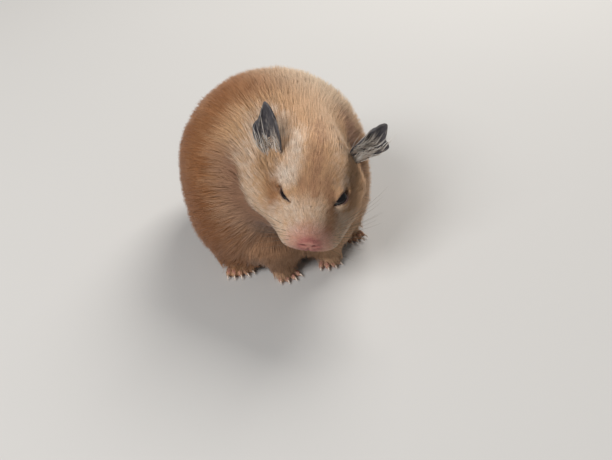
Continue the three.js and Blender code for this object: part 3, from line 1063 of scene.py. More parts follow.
# ---------------------------------------------------------------- strands: hairs, whiskers and claws
@dataclass
class Strands:
    """Many closed, tapered strands in one mesh.

    Attributes:
        paths: the middle of each ring and then the tip, (strands, rings + 1, 3), in metres.
        radii: the radius of each ring, (strands, rings), in metres.
        across: unit vectors across each strand, (strands, 3).
        sides: corners of each ring.
        flat: how thick a strand is for its width.
    """

    paths: Array
    radii: Array
    across: Array
    sides: int = 3
    flat: float = 1.0

    def vertices(self) -> Array:
        """The strands' vertices, (strands, rings * sides + 1, 3)."""
        count, rings = self.radii.shape
        heading = unit(self.paths[:, 1:] - self.paths[:, :-1])
        across = self.across[:, None]
        wide = unit(across - heading * np.sum(across * heading, axis=2, keepdims=True))
        tall = np.cross(heading, wide) * self.flat
        angles = np.arange(self.sides) * 2.0 * math.pi / self.sides
        spokes = wide[:, :, None] * np.cos(angles)[:, None] + tall[:, :, None] * np.sin(angles)[:, None]
        around = self.paths[:, :-1, None] + spokes * self.radii[:, :, None, None]
        return np.concatenate([around.reshape(count, rings * self.sides, 3), self.paths[:, -1:]], axis=1)

    def corners(self) -> tuple[Array, Array]:
        """One strand's faces: the vertex of each corner, and how many corners each face has."""
        rings, sides = self.radii.shape[1], self.sides
        faces = [list(range(sides - 1, -1, -1))]
        for ring in range(rings - 1):
            for side in range(sides):
                after = (side + 1) % sides
                low, high = ring * sides, (ring + 1) * sides
                faces.append([low + side, low + after, high + after, high + side])
        last = (rings - 1) * sides
        faces += [[last + side, last + (side + 1) % sides, rings * sides] for side in range(sides)]
        return np.concatenate([np.array(face) for face in faces]), np.array([len(face) for face in faces])

    def mesh(self, name: str, roots_uv: Array, patch: float = 0.003) -> bpy.types.Mesh:
        """The strands as a mesh with its OFBake map.

        Args:
            name: the mesh's name.
            roots_uv: the place of each strand's root on the skin's unwrap, (strands, 2).
            patch: how large each strand's patch of the map is.

        Returns:
            The mesh, shaded smooth.
        """
        points = self.vertices()
        count, each = points.shape[:2]
        corner, sizes = self.corners()
        mesh = bpy.data.meshes.new(name)
        mesh.vertices.add(count * each)
        mesh.vertices.foreach_set("co", points.astype(np.float32).ravel())
        loops = (np.arange(count)[:, None] * each + corner[None]).ravel()
        mesh.loops.add(len(loops))
        mesh.loops.foreach_set("vertex_index", loops.astype(np.int32))
        totals = np.tile(sizes, count)
        mesh.polygons.add(len(totals))
        starts = np.concatenate([[0], np.cumsum(totals)[:-1]])
        mesh.polygons.foreach_set("loop_start", starts.astype(np.int32))
        mesh.update(calc_edges=True)
        ring, side = np.divmod(np.arange(each), self.sides)
        across, along = (side + 0.5) / self.sides, (ring + 0.5) / (self.radii.shape[1] + 1)
        spread = np.column_stack([across - 0.5, along - 0.5])
        spots = roots_uv[:, None] + spread[None] * patch
        layer = mesh.uv_layers.new(name="OFBake")
        layer.data.foreach_set("uv", spots.reshape(-1, 2)[loops].astype(np.float32).ravel())
        mesh.shade_smooth()
        return mesh


@dataclass
class SkinMap:
    """What the hairs need to know about the skin they grow on.

    Attributes:
        points: the skin's vertices, in metres.
        normals: its outward normals there.
        corners: the vertices of each of its triangles.
        uv: the place of each triangle's corners on the skin's unwrap.
        masks: the markings' masks at the vertices.
        flow: the way that the hairs lie there.
        depth: the coat's depth there, in metres.
        ear: how much each vertex is on an ear.
        tree: finds the vertex nearest to a point.
    """

    points: Array
    normals: Array
    corners: Array
    uv: Array
    masks: dict[str, Array]
    flow: Array
    depth: Array
    ear: Array
    tree: KDTree

    @classmethod
    def of(cls, mesh: bpy.types.Mesh) -> "SkinMap":
        """Reads the map from the finished skin."""
        points, normals = positions(mesh), normals_of(mesh)
        mesh.calc_loop_triangles()
        count = len(mesh.loop_triangles)
        corners, loops = np.empty(count * 3, np.int32), np.empty(count * 3, np.int32)
        mesh.loop_triangles.foreach_get("vertices", corners)
        mesh.loop_triangles.foreach_get("loops", loops)
        uv = np.empty(len(mesh.loops) * 2, np.float32)
        mesh.uv_layers["OFBake"].data.foreach_get("uv", uv)
        ear, foot = read_attribute(mesh, "ear"), read_attribute(mesh, "foot")
        fold = read_attribute(mesh, "fold")
        depth = PELAGE.depth(points) * mix(0.3, 1.0, read_attribute(mesh, "clear")) * (1.0 - 0.3 * fold)
        depth = mix(mix(depth, 0.00025, ear), 0.0003, foot)
        along_ear = np.maximum(ear, 0.75 * read_attribute(mesh, "by_ear"))
        flow = unit(mix(PELAGE.flow(points, normals), PELAGE.ear_flow(points, normals), along_ear[:, None]))
        return cls(points, normals, corners.reshape(-1, 3), uv.reshape(-1, 2)[loops].reshape(-1, 3, 2),
                   {**MARKINGS.masks(points), "fold": fold}, flow, depth, ear, tree_of(points))

    def vertex_uv(self, vertices: Array) -> Array:
        """The places of some of the skin's vertices on its unwrap."""
        spots = np.zeros((len(self.points), 2))
        spots[self.corners.ravel()] = self.uv.reshape(-1, 2)
        return spots[vertices]

    def nearest(self, points: Array) -> Array:
        """The index of the skin's vertex nearest to each point."""
        return np.array([self.tree.find(point)[1] for point in points])


@dataclass
class Roots:
    """Where hairs grow: the triangle of each root and the root's place in it."""

    triangles: Array
    shares: Array
    skin: SkinMap

    @classmethod
    def scattered(cls, skin: SkinMap, density: Array, count: int, random: np.random.Generator) -> "Roots":
        """Scatters roots over the skin.

        Args:
            skin: the skin.
            density: the relative number of roots at each vertex of the skin.
            count: how many roots.
            random: the source of chance.

        Returns:
            The roots.
        """
        a, b, c = (skin.points[skin.corners[:, corner]] for corner in range(3))
        area = np.linalg.norm(np.cross(b - a, c - a), axis=1) * density[skin.corners].mean(axis=1)
        chosen = random.choice(len(area), size=count, p=area / area.sum())
        edge = np.sqrt(random.random(count))
        slide = random.random(count)
        shares = np.column_stack([1.0 - edge, edge * (1.0 - slide), edge * slide])
        return cls(chosen, shares, skin)

    def of_vertices(self, values: Array) -> Array:
        """Values kept for the skin's vertices, at the roots."""
        at_corners = values[self.skin.corners[self.triangles]]
        shares = self.shares if at_corners.ndim == 2 else self.shares[:, :, None]
        return np.sum(at_corners * shares, axis=1)

    @property
    def points(self) -> Array:
        """The roots' places."""
        return self.of_vertices(self.skin.points)

    @property
    def uv(self) -> Array:
        """The roots' places on the skin's unwrap."""
        return np.sum(self.skin.uv[self.triangles] * self.shares[:, :, None], axis=1)


# ---------------------------------------------------------------- the coat
@dataclass(frozen=True)
class Lie:
    """How one kind of hair lies.

    Attributes:
        length: of a hair for each unit of the coat's depth.
        shortest: the shortest hair, in metres.
        longest: the longest hair, in metres.
        width: of a hair at its root, in metres.
        rise: where the middle of a hair is, for the coat's depth.
        top: where its tip is, for the coat's depth.
        stray: how far hairs stray sideways, for their length.
        gather: how much tips gather into locks.
        lock: the area of skin to one lock, in square metres.
        bends: whether each hair has a bend in its middle.
    """

    length: float
    shortest: float
    longest: float
    width: float
    rise: float
    top: float
    stray: float
    gather: float
    lock: float
    bends: bool


FACE_LIE = Lie(length=1.7, shortest=0.0007, longest=0.0055, width=0.00019, rise=0.6, top=0.8,
               stray=0.26, gather=0.42, lock=1.4e-6, bends=False)
BODY_LIE = Lie(length=2.0, shortest=0.003, longest=0.0115, width=0.00025, rise=0.62, top=0.97,
               stray=0.16, gather=0.4, lock=4.0e-6, bends=True)


@dataclass
class Growth:
    """Hairs of one kind that grow from a set of roots."""

    roots: Roots
    lie: Lie
    random: np.random.Generator

    def paths(self) -> Array:
        """The root, middle and tip of each hair, drawn together into locks."""
        skin = self.roots.skin
        own = self._lines(*(self.roots.of_vertices(values)
                            for values in (skin.points, skin.normals, skin.flow, skin.depth)))
        leaders = self._leaders(own)
        grip = self.lie.gather * (0.6 + 0.8 * self.random.random(len(own)))
        own[:, 1] = mix(own[:, 1], leaders[:, 1], 0.35 * grip[:, None])
        own[:, 2] = mix(own[:, 2], leaders[:, 2], np.minimum(grip, 0.92)[:, None])
        own[:, :, 2] = np.maximum(own[:, :, 2], FLOOR_CLEARANCE)
        return own if self.lie.bends else own[:, ::2]

    def _lines(self, roots: Array, normals: Array, flow: Array, depth: Array) -> Array:
        """Single hairs, before they gather."""
        count = len(roots)
        length = np.clip(depth * self.lie.length, self.lie.shortest, self.lie.longest)
        length = length * (0.78 + 0.44 * self.random.random(count))
        sideways = np.cross(normals, flow)
        stray = self.random.normal(0.0, self.lie.stray, count)
        heading = unit(flow + sideways * stray[:, None])
        skin = self.roots.skin
        rise = 0.75 + 0.4 * self.random.random(count)
        middle = roots + heading * (0.46 * length)[:, None]
        near = skin.nearest(middle)
        middle = self._over_skin(middle, rise * mix(depth, skin.depth[near], 0.5) * self.lie.rise)
        onward = unit(skin.flow[near] + sideways * stray[:, None])
        tip = middle + onward * (0.56 * length)[:, None]
        tip = self._over_skin(tip, rise * mix(depth, skin.depth[skin.nearest(tip)], 0.6) * self.lie.top)
        straight = roots + heading * (0.96 * length)[:, None]
        straight = straight + normals * (rise * depth * self.lie.top)[:, None]
        stiff = 0.75 * skin.masks["fold"][skin.nearest(tip)]
        tip = mix(tip, straight, stiff[:, None])
        return np.stack([roots - normals * 0.0001, middle, tip], axis=1)

    def _over_skin(self, points: Array, height: Array) -> Array:
        """Points moved along the skin's normal to a height over the skin."""
        near = self.roots.skin.nearest(points)
        normals = self.roots.skin.normals[near]
        level = np.sum((points - self.roots.skin.points[near]) * normals, axis=1)
        return points + normals * (height - level)[:, None]

    def _leaders(self, own: Array) -> Array:
        """The hair that leads each hair's lock."""
        area = self._area()
        count = max(int(area / self.lie.lock), 8)
        chosen = self.random.choice(len(own), size=min(count, len(own)), replace=False)
        tree = tree_of(own[chosen, 0])
        return own[chosen[[tree.find(root)[1] for root in own[:, 0]]]]

    def _area(self) -> float:
        """The area of skin that the roots stand on, in square metres."""
        low, high = self.roots.points.min(axis=0), self.roots.points.max(axis=0)
        side = high - low
        return float(side[0] * side[1] + side[1] * side[2] + side[0] * side[2]) * 1.6


@dataclass
class Coat:
    """The hair of the whole animal, in pieces that each cover a part of it.

    Attributes:
        skin: the skin's map.
        body_hairs: how many long hairs.
        face_hairs: how many short hairs on the head and feet.
        turn: the coat's depths at which all hairs are long and all are short, in metres.
        ear_cover: how high up the left ear and the right hairs still grow, in millimetres on the head.
        sole: the heights between which the soles are bare, in metres.
        body_bands: the pieces of the long hairs.
        face_bands: the pieces of the short hairs, from the head's right to its left.
    """

    skin: SkinMap
    body_hairs: int = 100000
    face_hairs: int = 112000
    quick_share: float = 0.3
    turn: tuple[float, float] = (0.0036, 0.0026)
    ear_cover: tuple[float, float] = (5.0, 7.0)
    sole: tuple[float, float] = (0.0012, 0.0004)
    body_bands: tuple[str, ...] = ("coat_flank_left", "coat_flank_right", "coat_rump", "coat_back",
                                   "coat_shoulders", "coat_nape", "coat_underside")
    face_bands: tuple[str, ...] = ("coat_face_right", "coat_brow", "coat_muzzle", "coat_face_left")

    def build(self) -> list[bpy.types.Object]:
        """Grows the coat.

        Returns:
            The coat's pieces.
        """
        random = np.random.default_rng(SEED)
        thin = 1.0
        hairy = 1.0 - self._bare()
        face = ramp(self.skin.depth, *self.turn)
        short = Roots.scattered(self.skin, face * hairy + 1e-9, int(self.face_hairs * thin), random)
        long = Roots.scattered(self.skin, (1.0 - face) * hairy + 1e-9, int(self.body_hairs * thin), random)
        made = self._pieces(long, BODY_LIE, random, self.body_bands, self._round_body(long))
        return made + self._pieces(short, FACE_LIE, random, self.face_bands, self._across_head(short))

    def _bare(self) -> Array:
        """1 where the skin is bare: the nose pad, the lids' rims, the soles and the ears."""
        on_head = HEAD.to_head(self.skin.points)
        nose = ramp(from_nose_pad(on_head), 2.3, 1.5)
        lids = np.max([ramp(eye.rim_distance(self.skin.points), 0.25, 0.05) for eye in EYES.values()], axis=0)
        covered = np.where(on_head[:, 0] > 0.0, *self.ear_cover)
        ears = self.skin.ear * np.clip((on_head[:, 2] - covered) / 2.0, 0.0, 1.0)
        soles = ramp(self.skin.points[:, 2], *self.sole)
        return np.maximum.reduce([nose, lids, ears, soles])

    def _round_body(self, roots: Roots) -> Array:
        """A number for each root that grows round and along the body."""
        x, y, z = roots.points.T
        return np.arctan2(x, z - 0.028) + 1e-3 * y + 1.7 * np.round(y / 0.04)

    def _across_head(self, roots: Roots) -> Array:
        """A number for each root that grows from the head's right to its left."""
        return HEAD.to_head(roots.points)[:, 0]

    def _pieces(self, roots: Roots, lie: Lie, random: np.random.Generator, names: tuple[str, ...],
                places: Array) -> list[bpy.types.Object]:
        """Makes the pieces of one kind of hair.

        Args:
            roots: where the hairs grow.
            lie: how they lie.
            random: the source of chance.
            names: the pieces' names.
            places: a number for each hair; the pieces part the hairs in its order.

        Returns:
            The pieces, with equally many hairs.
        """
        made = []
        paths = Growth(roots, lie, random).paths()
        bands = np.argsort(np.argsort(places)) * len(names) // len(places)
        normals = roots.of_vertices(roots.skin.normals)
        across = unit(np.cross(normals, paths[:, -1] - paths[:, 0]))
        width = lie.width * (0.7 + 0.6 * random.random(len(paths)))
        tone = random.normal(0.0, 1.0, len(paths))
        masks = {name: roots.of_vertices(values) for name, values in roots.skin.masks.items()}
        uv = roots.uv
        for band, name in enumerate(names):
            kept = bands == band
            radii = np.column_stack([0.5 * width[kept], 0.42 * width[kept]])[:, : paths.shape[1] - 1]
            strands = Strands(paths[kept], radii, across[kept], flat=0.6)
            mesh = strands.mesh(name, uv[kept])
            each = len(mesh.vertices) // kept.sum()
            for mask, values in masks.items():
                store_attribute(mesh, mask, np.repeat(values[kept], each))
            store_attribute(mesh, "tone", np.repeat(tone[kept], each))
            rings = (0.0, 0.5) if lie.bends else (0.45,)
            store_attribute(mesh, "along", np.tile([*np.repeat(rings, strands.sides), 1.0], kept.sum()))
            soften(mesh, np.repeat(normals[kept], each, axis=0), 0.6)
            piece = mesh_object(name, mesh)
            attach(piece, "root")
            made.append(piece)
            log.info("%s: %d hairs", name, kept.sum())
        return made


@dataclass(frozen=True)
class Tuft:
    """A spray of long hairs by an ear, with places in millimetres on the head.

    Attributes:
        root: the middle of the place where it grows.
        reach: how far from there it grows.
        heading: the way that it points.
        count: how many hairs.
        length: the longest, in metres.
        height: how far up an ear it grows, or 0 for hairs of the head beside the ear.
        facing: the way that the ear's hollow side faces.
    """

    root: tuple[float, float, float]
    reach: float
    heading: tuple[float, ...]
    count: int
    length: float
    height: float = 0.0
    facing: tuple[float, float, float] = (0.0, 0.0, 1.0)

    def roots(self, skin: SkinMap, random: np.random.Generator) -> Array:
        """The skin's vertices that it grows from."""
        root = HEAD.to_row(self.root)
        if not self.height:
            root = skin.points[skin.nearest(root[None])[0]]
        from_root = skin.points - root
        weight = 1.0 * (np.linalg.norm(from_root, axis=1) < self.reach * MM)
        if self.height:
            up = from_root @ HEAD.direction(self.heading) / MM
            weight *= (skin.ear > 0.2) * ramp(skin.normals @ HEAD.direction(self.facing), 0.0, 0.4)
            weight *= ramp(up, self.height, 1.0)
        return random.choice(len(weight), size=self.count, p=weight / weight.sum())

    def paths(self, skin: SkinMap, chosen: Array, random: np.random.Generator) -> Array:
        """The root, middle and tip of each hair."""
        start, normals = skin.points[chosen], skin.normals[chosen]
        length = self.length * (0.45 + 0.55 * random.random(self.count))
        stray = random.normal(0.0, 0.1, (self.count, 3))
        heading = unit(HEAD.direction(self.heading) + stray + 0.12 * normals)
        middle = start + heading * (0.5 * length)[:, None] + normals * 0.0004
        tip = start + unit(heading - 0.18 * normals) * length[:, None] + normals * 0.0003
        return np.stack([start - normals * 0.0001, middle, tip], axis=1)


TUFTS = (
    Tuft(root=(13.0, 13.0, 5.5), reach=11.0, heading=PELAGE.ear_rise[0], count=120, length=0.01,
         height=7.5, facing=(0.15, -0.75, 0.45)),
    Tuft(root=(13.2, 17.0, 8.5), reach=2.5, heading=(8.0, 1.5, 4.4), count=45, length=0.0075),
    Tuft(root=(13.2, 14.5, 7.5), reach=2.5, heading=(6.7, -3.4, 5.6), count=40, length=0.0065),
    Tuft(root=(-13.0, 13.0, 5.5), reach=11.0, heading=PELAGE.ear_rise[1], count=60, length=0.0095,
         height=4.5, facing=(-0.25, -0.75, 0.45)),
)


@dataclass
class EarTufts:
    """The long pale hairs that rise from the base of each ear over its hollow side.

    Attributes:
        skin: the skin's map.
        width: of a hair at its root, in metres.
    """

    skin: SkinMap
    width: float = 0.00022

    def build(self) -> bpy.types.Object:
        """Grows the tufts of both ears.

        Returns:
            Their object.
        """
        random = np.random.default_rng(SEED + 2)
        roots = [tuft.roots(self.skin, random) for tuft in TUFTS]
        paths = np.concatenate([tuft.paths(self.skin, chosen, random) for tuft, chosen in zip(TUFTS, roots)])
        roots = np.concatenate(roots)
        normals = self.skin.normals[roots]
        radii = np.outer(0.7 + 0.6 * random.random(len(paths)), (0.5 * self.width, 0.42 * self.width))
        strands = Strands(paths, radii, unit(np.cross(normals, paths[:, -1] - paths[:, 0])), flat=0.6)
        mesh = strands.mesh("coat_ears", self.skin.vertex_uv(roots))
        each = len(mesh.vertices) // len(paths)
        store_attribute(mesh, "tone", np.repeat(random.random(len(paths)), each))
        soften(mesh, np.repeat(normals, each, axis=0), 0.5)
        piece = mesh_object("coat_ears", mesh)
        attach(piece, "root")
        return piece


def soften(mesh: bpy.types.Mesh, normals: Array, share: float) -> None:
    """Turns a mesh's shading normals towards the skin's, so that hairs shade as one soft coat."""
    own = normals_of(mesh)
    mesh.normals_split_custom_set_from_vertices(unit(mix(own, normals, share)).astype(np.float32))


# ---------------------------------------------------------------- whiskers and claws
@dataclass
class Whiskers:
    """Long, stiff hairs that fan out from both sides of the muzzle.

    Attributes:
        rows: how many rows of whiskers on each side.
        columns: how many whiskers in each row.
        rings: how many rings each whisker has.
        thickness: of a whisker at its root, in metres.
    """

    rows: int = 4
    columns: int = 4
    rings: int = 9
    thickness: float = 0.00013

    def build(self) -> bpy.types.Object:
        """Makes the whiskers.

        Returns:
            The whiskers' object.
        """
        random = np.random.default_rng(SEED + 1)
        paths = np.array([self._whisker(side, row, column, random)
                          for side in Side for row in range(self.rows) for column in range(self.columns)])
        taper = np.linspace(1.0, 0.25, self.rings) * self.thickness / 2
        across = unit(np.cross(paths[:, -1] - paths[:, 0], (0.0, 0.0, 1.0)))
        strands = Strands(paths, np.tile(taper, (len(paths), 1)), across, sides=5)
        spots = 0.05 + 0.9 * random.random((len(paths), 2))
        made = mesh_object("whiskers", strands.mesh("whiskers", spots, patch=0.02))
        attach(made, "root")
        return made

    def _whisker(self, side: Side, row: int, column: int, random: np.random.Generator) -> Array:
        """One whisker's path, from its root to its tip."""
        down, back = row / (self.rows - 1), column / (self.columns - 1)
        root = np.array([4.0 + 2.6 * back, -12.2 + 4.2 * back, -3.4 - 3.6 * down])
        heading = np.array([1.0, -0.35 + 0.75 * back, 0.55 - 1.0 * down]) + random.normal(0.0, 0.08, 3)
        length = (13.0 + 9.0 * back) * (0.85 + 0.3 * random.random())
        along = np.linspace(0.0, 1.0, self.rings + 1)[:, None]
        droop = np.array([-0.1, 0.22, -0.16]) * length
        path = root + unit(heading) * length * along + droop * along**2
        return HEAD.to_row(path * np.array([side.value, 1.0, 1.0]))


@dataclass(frozen=True)
class Paw:
    """Where a foot's toes end, in millimetres of the row's frame, on the left.

    Attributes:
        heel: the back of the foot on the floor.
        palm: half the sizes of the palm.
        toes: how many toes.
        toe: half the sizes of a toe.
        fan: degrees that the outer toes splay.
        turn: degrees that the foot turns outwards.
        claw: the length of a claw.
    """

    heel: tuple[float, float]
    palm: tuple[float, float]
    toes: int
    toe: tuple[float, float, float]
    fan: float
    turn: float
    claw: float

    def claws(self, side: Side) -> list[Array]:
        """The path of each claw, from its root to its point, in metres."""
        foot = Matrix.Translation((side.value * self.heel[0], self.heel[1], 0.0))
        foot = foot @ Matrix.Rotation(math.radians(side.value * self.turn), 4, "Z")
        paths = []
        for index in range(self.toes):
            share = 2.0 * index / (self.toes - 1) - 1.0
            place = foot @ Matrix.Translation((share * self.palm[0] * 0.72, -self.palm[1] * 1.62, 0.0))
            place = place @ Matrix.Rotation(math.radians(share * self.fan), 4, "Z")
            front = -self.toe[1] * (1.0 - 0.25 * share * share) - self.toe[1]
            root = Vector((0.0, front + 0.5, self.toe[2] * 0.85))
            curve = [root + Vector((0.0, -self.claw * t, self.claw * (0.1 * t - 0.55 * t * t)))
                     for t in (0.0, 0.25, 0.5, 0.75, 1.0)]
            paths.append(np.array([place @ point for point in curve]) * MM)
        return paths


PAWS = (
    Paw(heel=(20.0, -1.0), palm=(3.4, 8.5), toes=5, toe=(1.15, 3.4, 1.5), fan=20.0, turn=8.0, claw=1.9),
    Paw(heel=(8.5, -19.0), palm=(2.9, 4.0), toes=4, toe=(1.0, 2.6, 1.3), fan=24.0, turn=-4.0, claw=1.5),
)


@dataclass
class Claws:
    """The claws of all four feet."""

    radii: tuple[float, ...] = (0.0003, 0.00026, 0.0002, 0.00012)

    def build(self) -> bpy.types.Object:
        """Makes the claws.

        Returns:
            The claws' object.
        """
        paths = np.array([path for paw in PAWS for side in Side for path in paw.claws(side)])
        across = np.tile((1.0, 0.0, 0.0), (len(paths), 1))
        strands = Strands(paths, np.tile(self.radii, (len(paths), 1)), across, sides=8, flat=1.25)
        steps = np.arange(len(paths))
        spots = np.column_stack([0.1 + 0.16 * (steps % 6), 0.1 + 0.2 * (steps // 6)])
        made = mesh_object("claws", strands.mesh("claws", spots, patch=0.12))
        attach(made, "root")
        return made


# ---------------------------------------------------------------- finishes
class Wiring:
    """Adds nodes to one tree and joins them."""

    def __init__(self, tree: bpy.types.NodeTree) -> None:
        """Starts on an empty tree."""
        self.tree = tree

    def place(self, kind: str, inputs: dict | None = None, **settings: object) -> bpy.types.Node:
        """Adds a node, sets its properties and sets or links its inputs.

        Args:
            kind: the node's type.
            inputs: a value or an output socket for each input's name or number.
            **settings: the node's properties.

        Returns:
            The node.
        """
        node = self.tree.nodes.new(kind)
        for name, value in settings.items():
            setattr(node, name, value)
        for key, value in (inputs or {}).items():
            if isinstance(value, bpy.types.NodeSocket):
                self.tree.links.new(value, node.inputs[key])
            else:
                node.inputs[key].default_value = value
        return node

    def math(self, operation: str, first: object, second: object = 0.0) -> bpy.types.NodeSocket:
        """The result of a sum on two numbers."""
        return self.place("ShaderNodeMath", {0: first, 1: second}, operation=operation).outputs[0]

    def blend(self, share: object, first: object, second: object, kind: str = "MIX") -> bpy.types.NodeSocket:
        """Two colours mixed."""
        node = self.place("ShaderNodeMix", {0: share, 6: first, 7: second}, data_type="RGBA", blend_type=kind)
        return node.outputs[2]

    def mask(self, name: str) -> bpy.types.NodeSocket:
        """A number kept on the piece's vertices."""
        return self.place("ShaderNodeAttribute", attribute_name=name).outputs["Fac"]

    def noise(self, scale: float, detail: float = 3.0) -> bpy.types.NodeSocket:
        """Soft noise in the piece's own place, from 0 to 1."""
        place = self.place("ShaderNodeTexCoord").outputs["Object"]
        inputs = {"Vector": place, "Scale": scale, "Detail": detail}
        return self.place("ShaderNodeTexNoise", inputs).outputs["Fac"]


def colour(red: float, green: float, blue: float) -> tuple[float, float, float, float]:
    """A screen colour, 0 to 255, as the shader's linear one."""
    parts = [part / 255.0 for part in (red, green, blue)]
    return (*(p / 12.92 if p <= 0.04045 else ((p + 0.055) / 1.055) ** 2.4 for p in parts), 1.0)


@dataclass(frozen=True)
class CoatColours:
    """The colours of the coat and of the bare skin as seen in even light, but for dome, which is painted
    light, and fold, which is painted shade; orange is partly painted shade.
    """

    coat: tuple = colour(208, 165, 124)
    # orange: the cheek bands' and flanks' own deeper orange, with painted shade on the right flank
    orange: tuple = colour(149, 96, 55)
    pale: tuple = colour(238, 218, 198)
    streak: tuple = colour(182, 138, 104)
    belly: tuple = colour(212, 174, 144)
    # dome: painted light on the top of the back
    dome: tuple = colour(220, 196, 167)
    pink: tuple = colour(190, 124, 115)
    rim: tuple = colour(96, 72, 66)
    # fold: painted shade on the body behind the cheeks and jaw
    fold: tuple = colour(158, 118, 92)


COLOURS = CoatColours()

# the markings and the painted light and shade, in the order that they are laid on, with the noise that makes
# their edges ragged and its share
LAYERS = (("orange", "broad", 0.5), ("dome", "broad", 0.4), ("belly", "broad", 0.3), ("pale", "fine", 1.2),
          ("streak", "fine", 1.8), ("pink", "broad", 0.1), ("rim", "broad", 0.0), ("fold", "broad", 0.2))
SOCKETS = ("coat", *(mask for mask, _, _ in LAYERS))


def markings_group() -> bpy.types.NodeTree:
    """The node group that lays the coat's colours, with their painted light and shade, where the markings'
    masks say.

    Returns:
        The group, with one colour input for each marking and one colour output.
    """
    group = bpy.data.node_groups.new("coat markings", "ShaderNodeTree")
    for name in SOCKETS:
        group.interface.new_socket(name, in_out="INPUT", socket_type="NodeSocketColor")
    group.interface.new_socket("Color", in_out="OUTPUT", socket_type="NodeSocketColor")
    wiring = Wiring(group)
    given = group.nodes.new("NodeGroupInput").outputs
    noises = {"broad": wiring.noise(150.0, 4.0), "fine": wiring.noise(520.0, 2.0)}
    laid = given["coat"]
    for mask, noise, ragged in LAYERS:
        wander = wiring.math("MULTIPLY", wiring.math("SUBTRACT", noises[noise], 0.5), ragged)
        share = wiring.math("ADD", wiring.mask(mask), wander)
        inside = wiring.math("MINIMUM", wiring.math("MULTIPLY", wiring.mask(mask), 4.0), 1.0)
        held = wiring.math("MULTIPLY", share, inside)
        node = wiring.place("ShaderNodeClamp", {"Value": held})
        laid = wiring.blend(node.outputs[0], laid, given[mask])
    wiring.place("NodeGroupOutput", {"Color": laid})
    return group


@dataclass(frozen=True)
class Finish:
    """A material with one Principled BSDF whose plain values are set on its own sockets."""

    name: str
    plain: dict

    def start(self) -> tuple[bpy.types.Material, Wiring, bpy.types.Node]:
        """A new material, its wiring and its shader."""
        made = bpy.data.materials.new(self.name)
        made.use_nodes = True
        tree = made.node_tree
        tree.nodes.clear()
        wiring = Wiring(tree)
        shader = wiring.place("ShaderNodeBsdfPrincipled", dict(self.plain))
        wiring.place("ShaderNodeOutputMaterial", {"Surface": shader.outputs[0]})
        return made, wiring, shader

    def mottled(self, scale: float, first: tuple, second: tuple) -> bpy.types.Material:
        """The finished material, in two colours that run into each other.

        Args:
            scale: how fine the noise between the colours is.
            first: the colour where the noise is low.
            second: the colour where it is high.

        Returns:
            The material.
        """
        made, wiring, shader = self.start()
        base = wiring.blend(wiring.noise(scale), first, second)
        wiring.tree.links.new(base, shader.inputs["Base Color"])
        return made


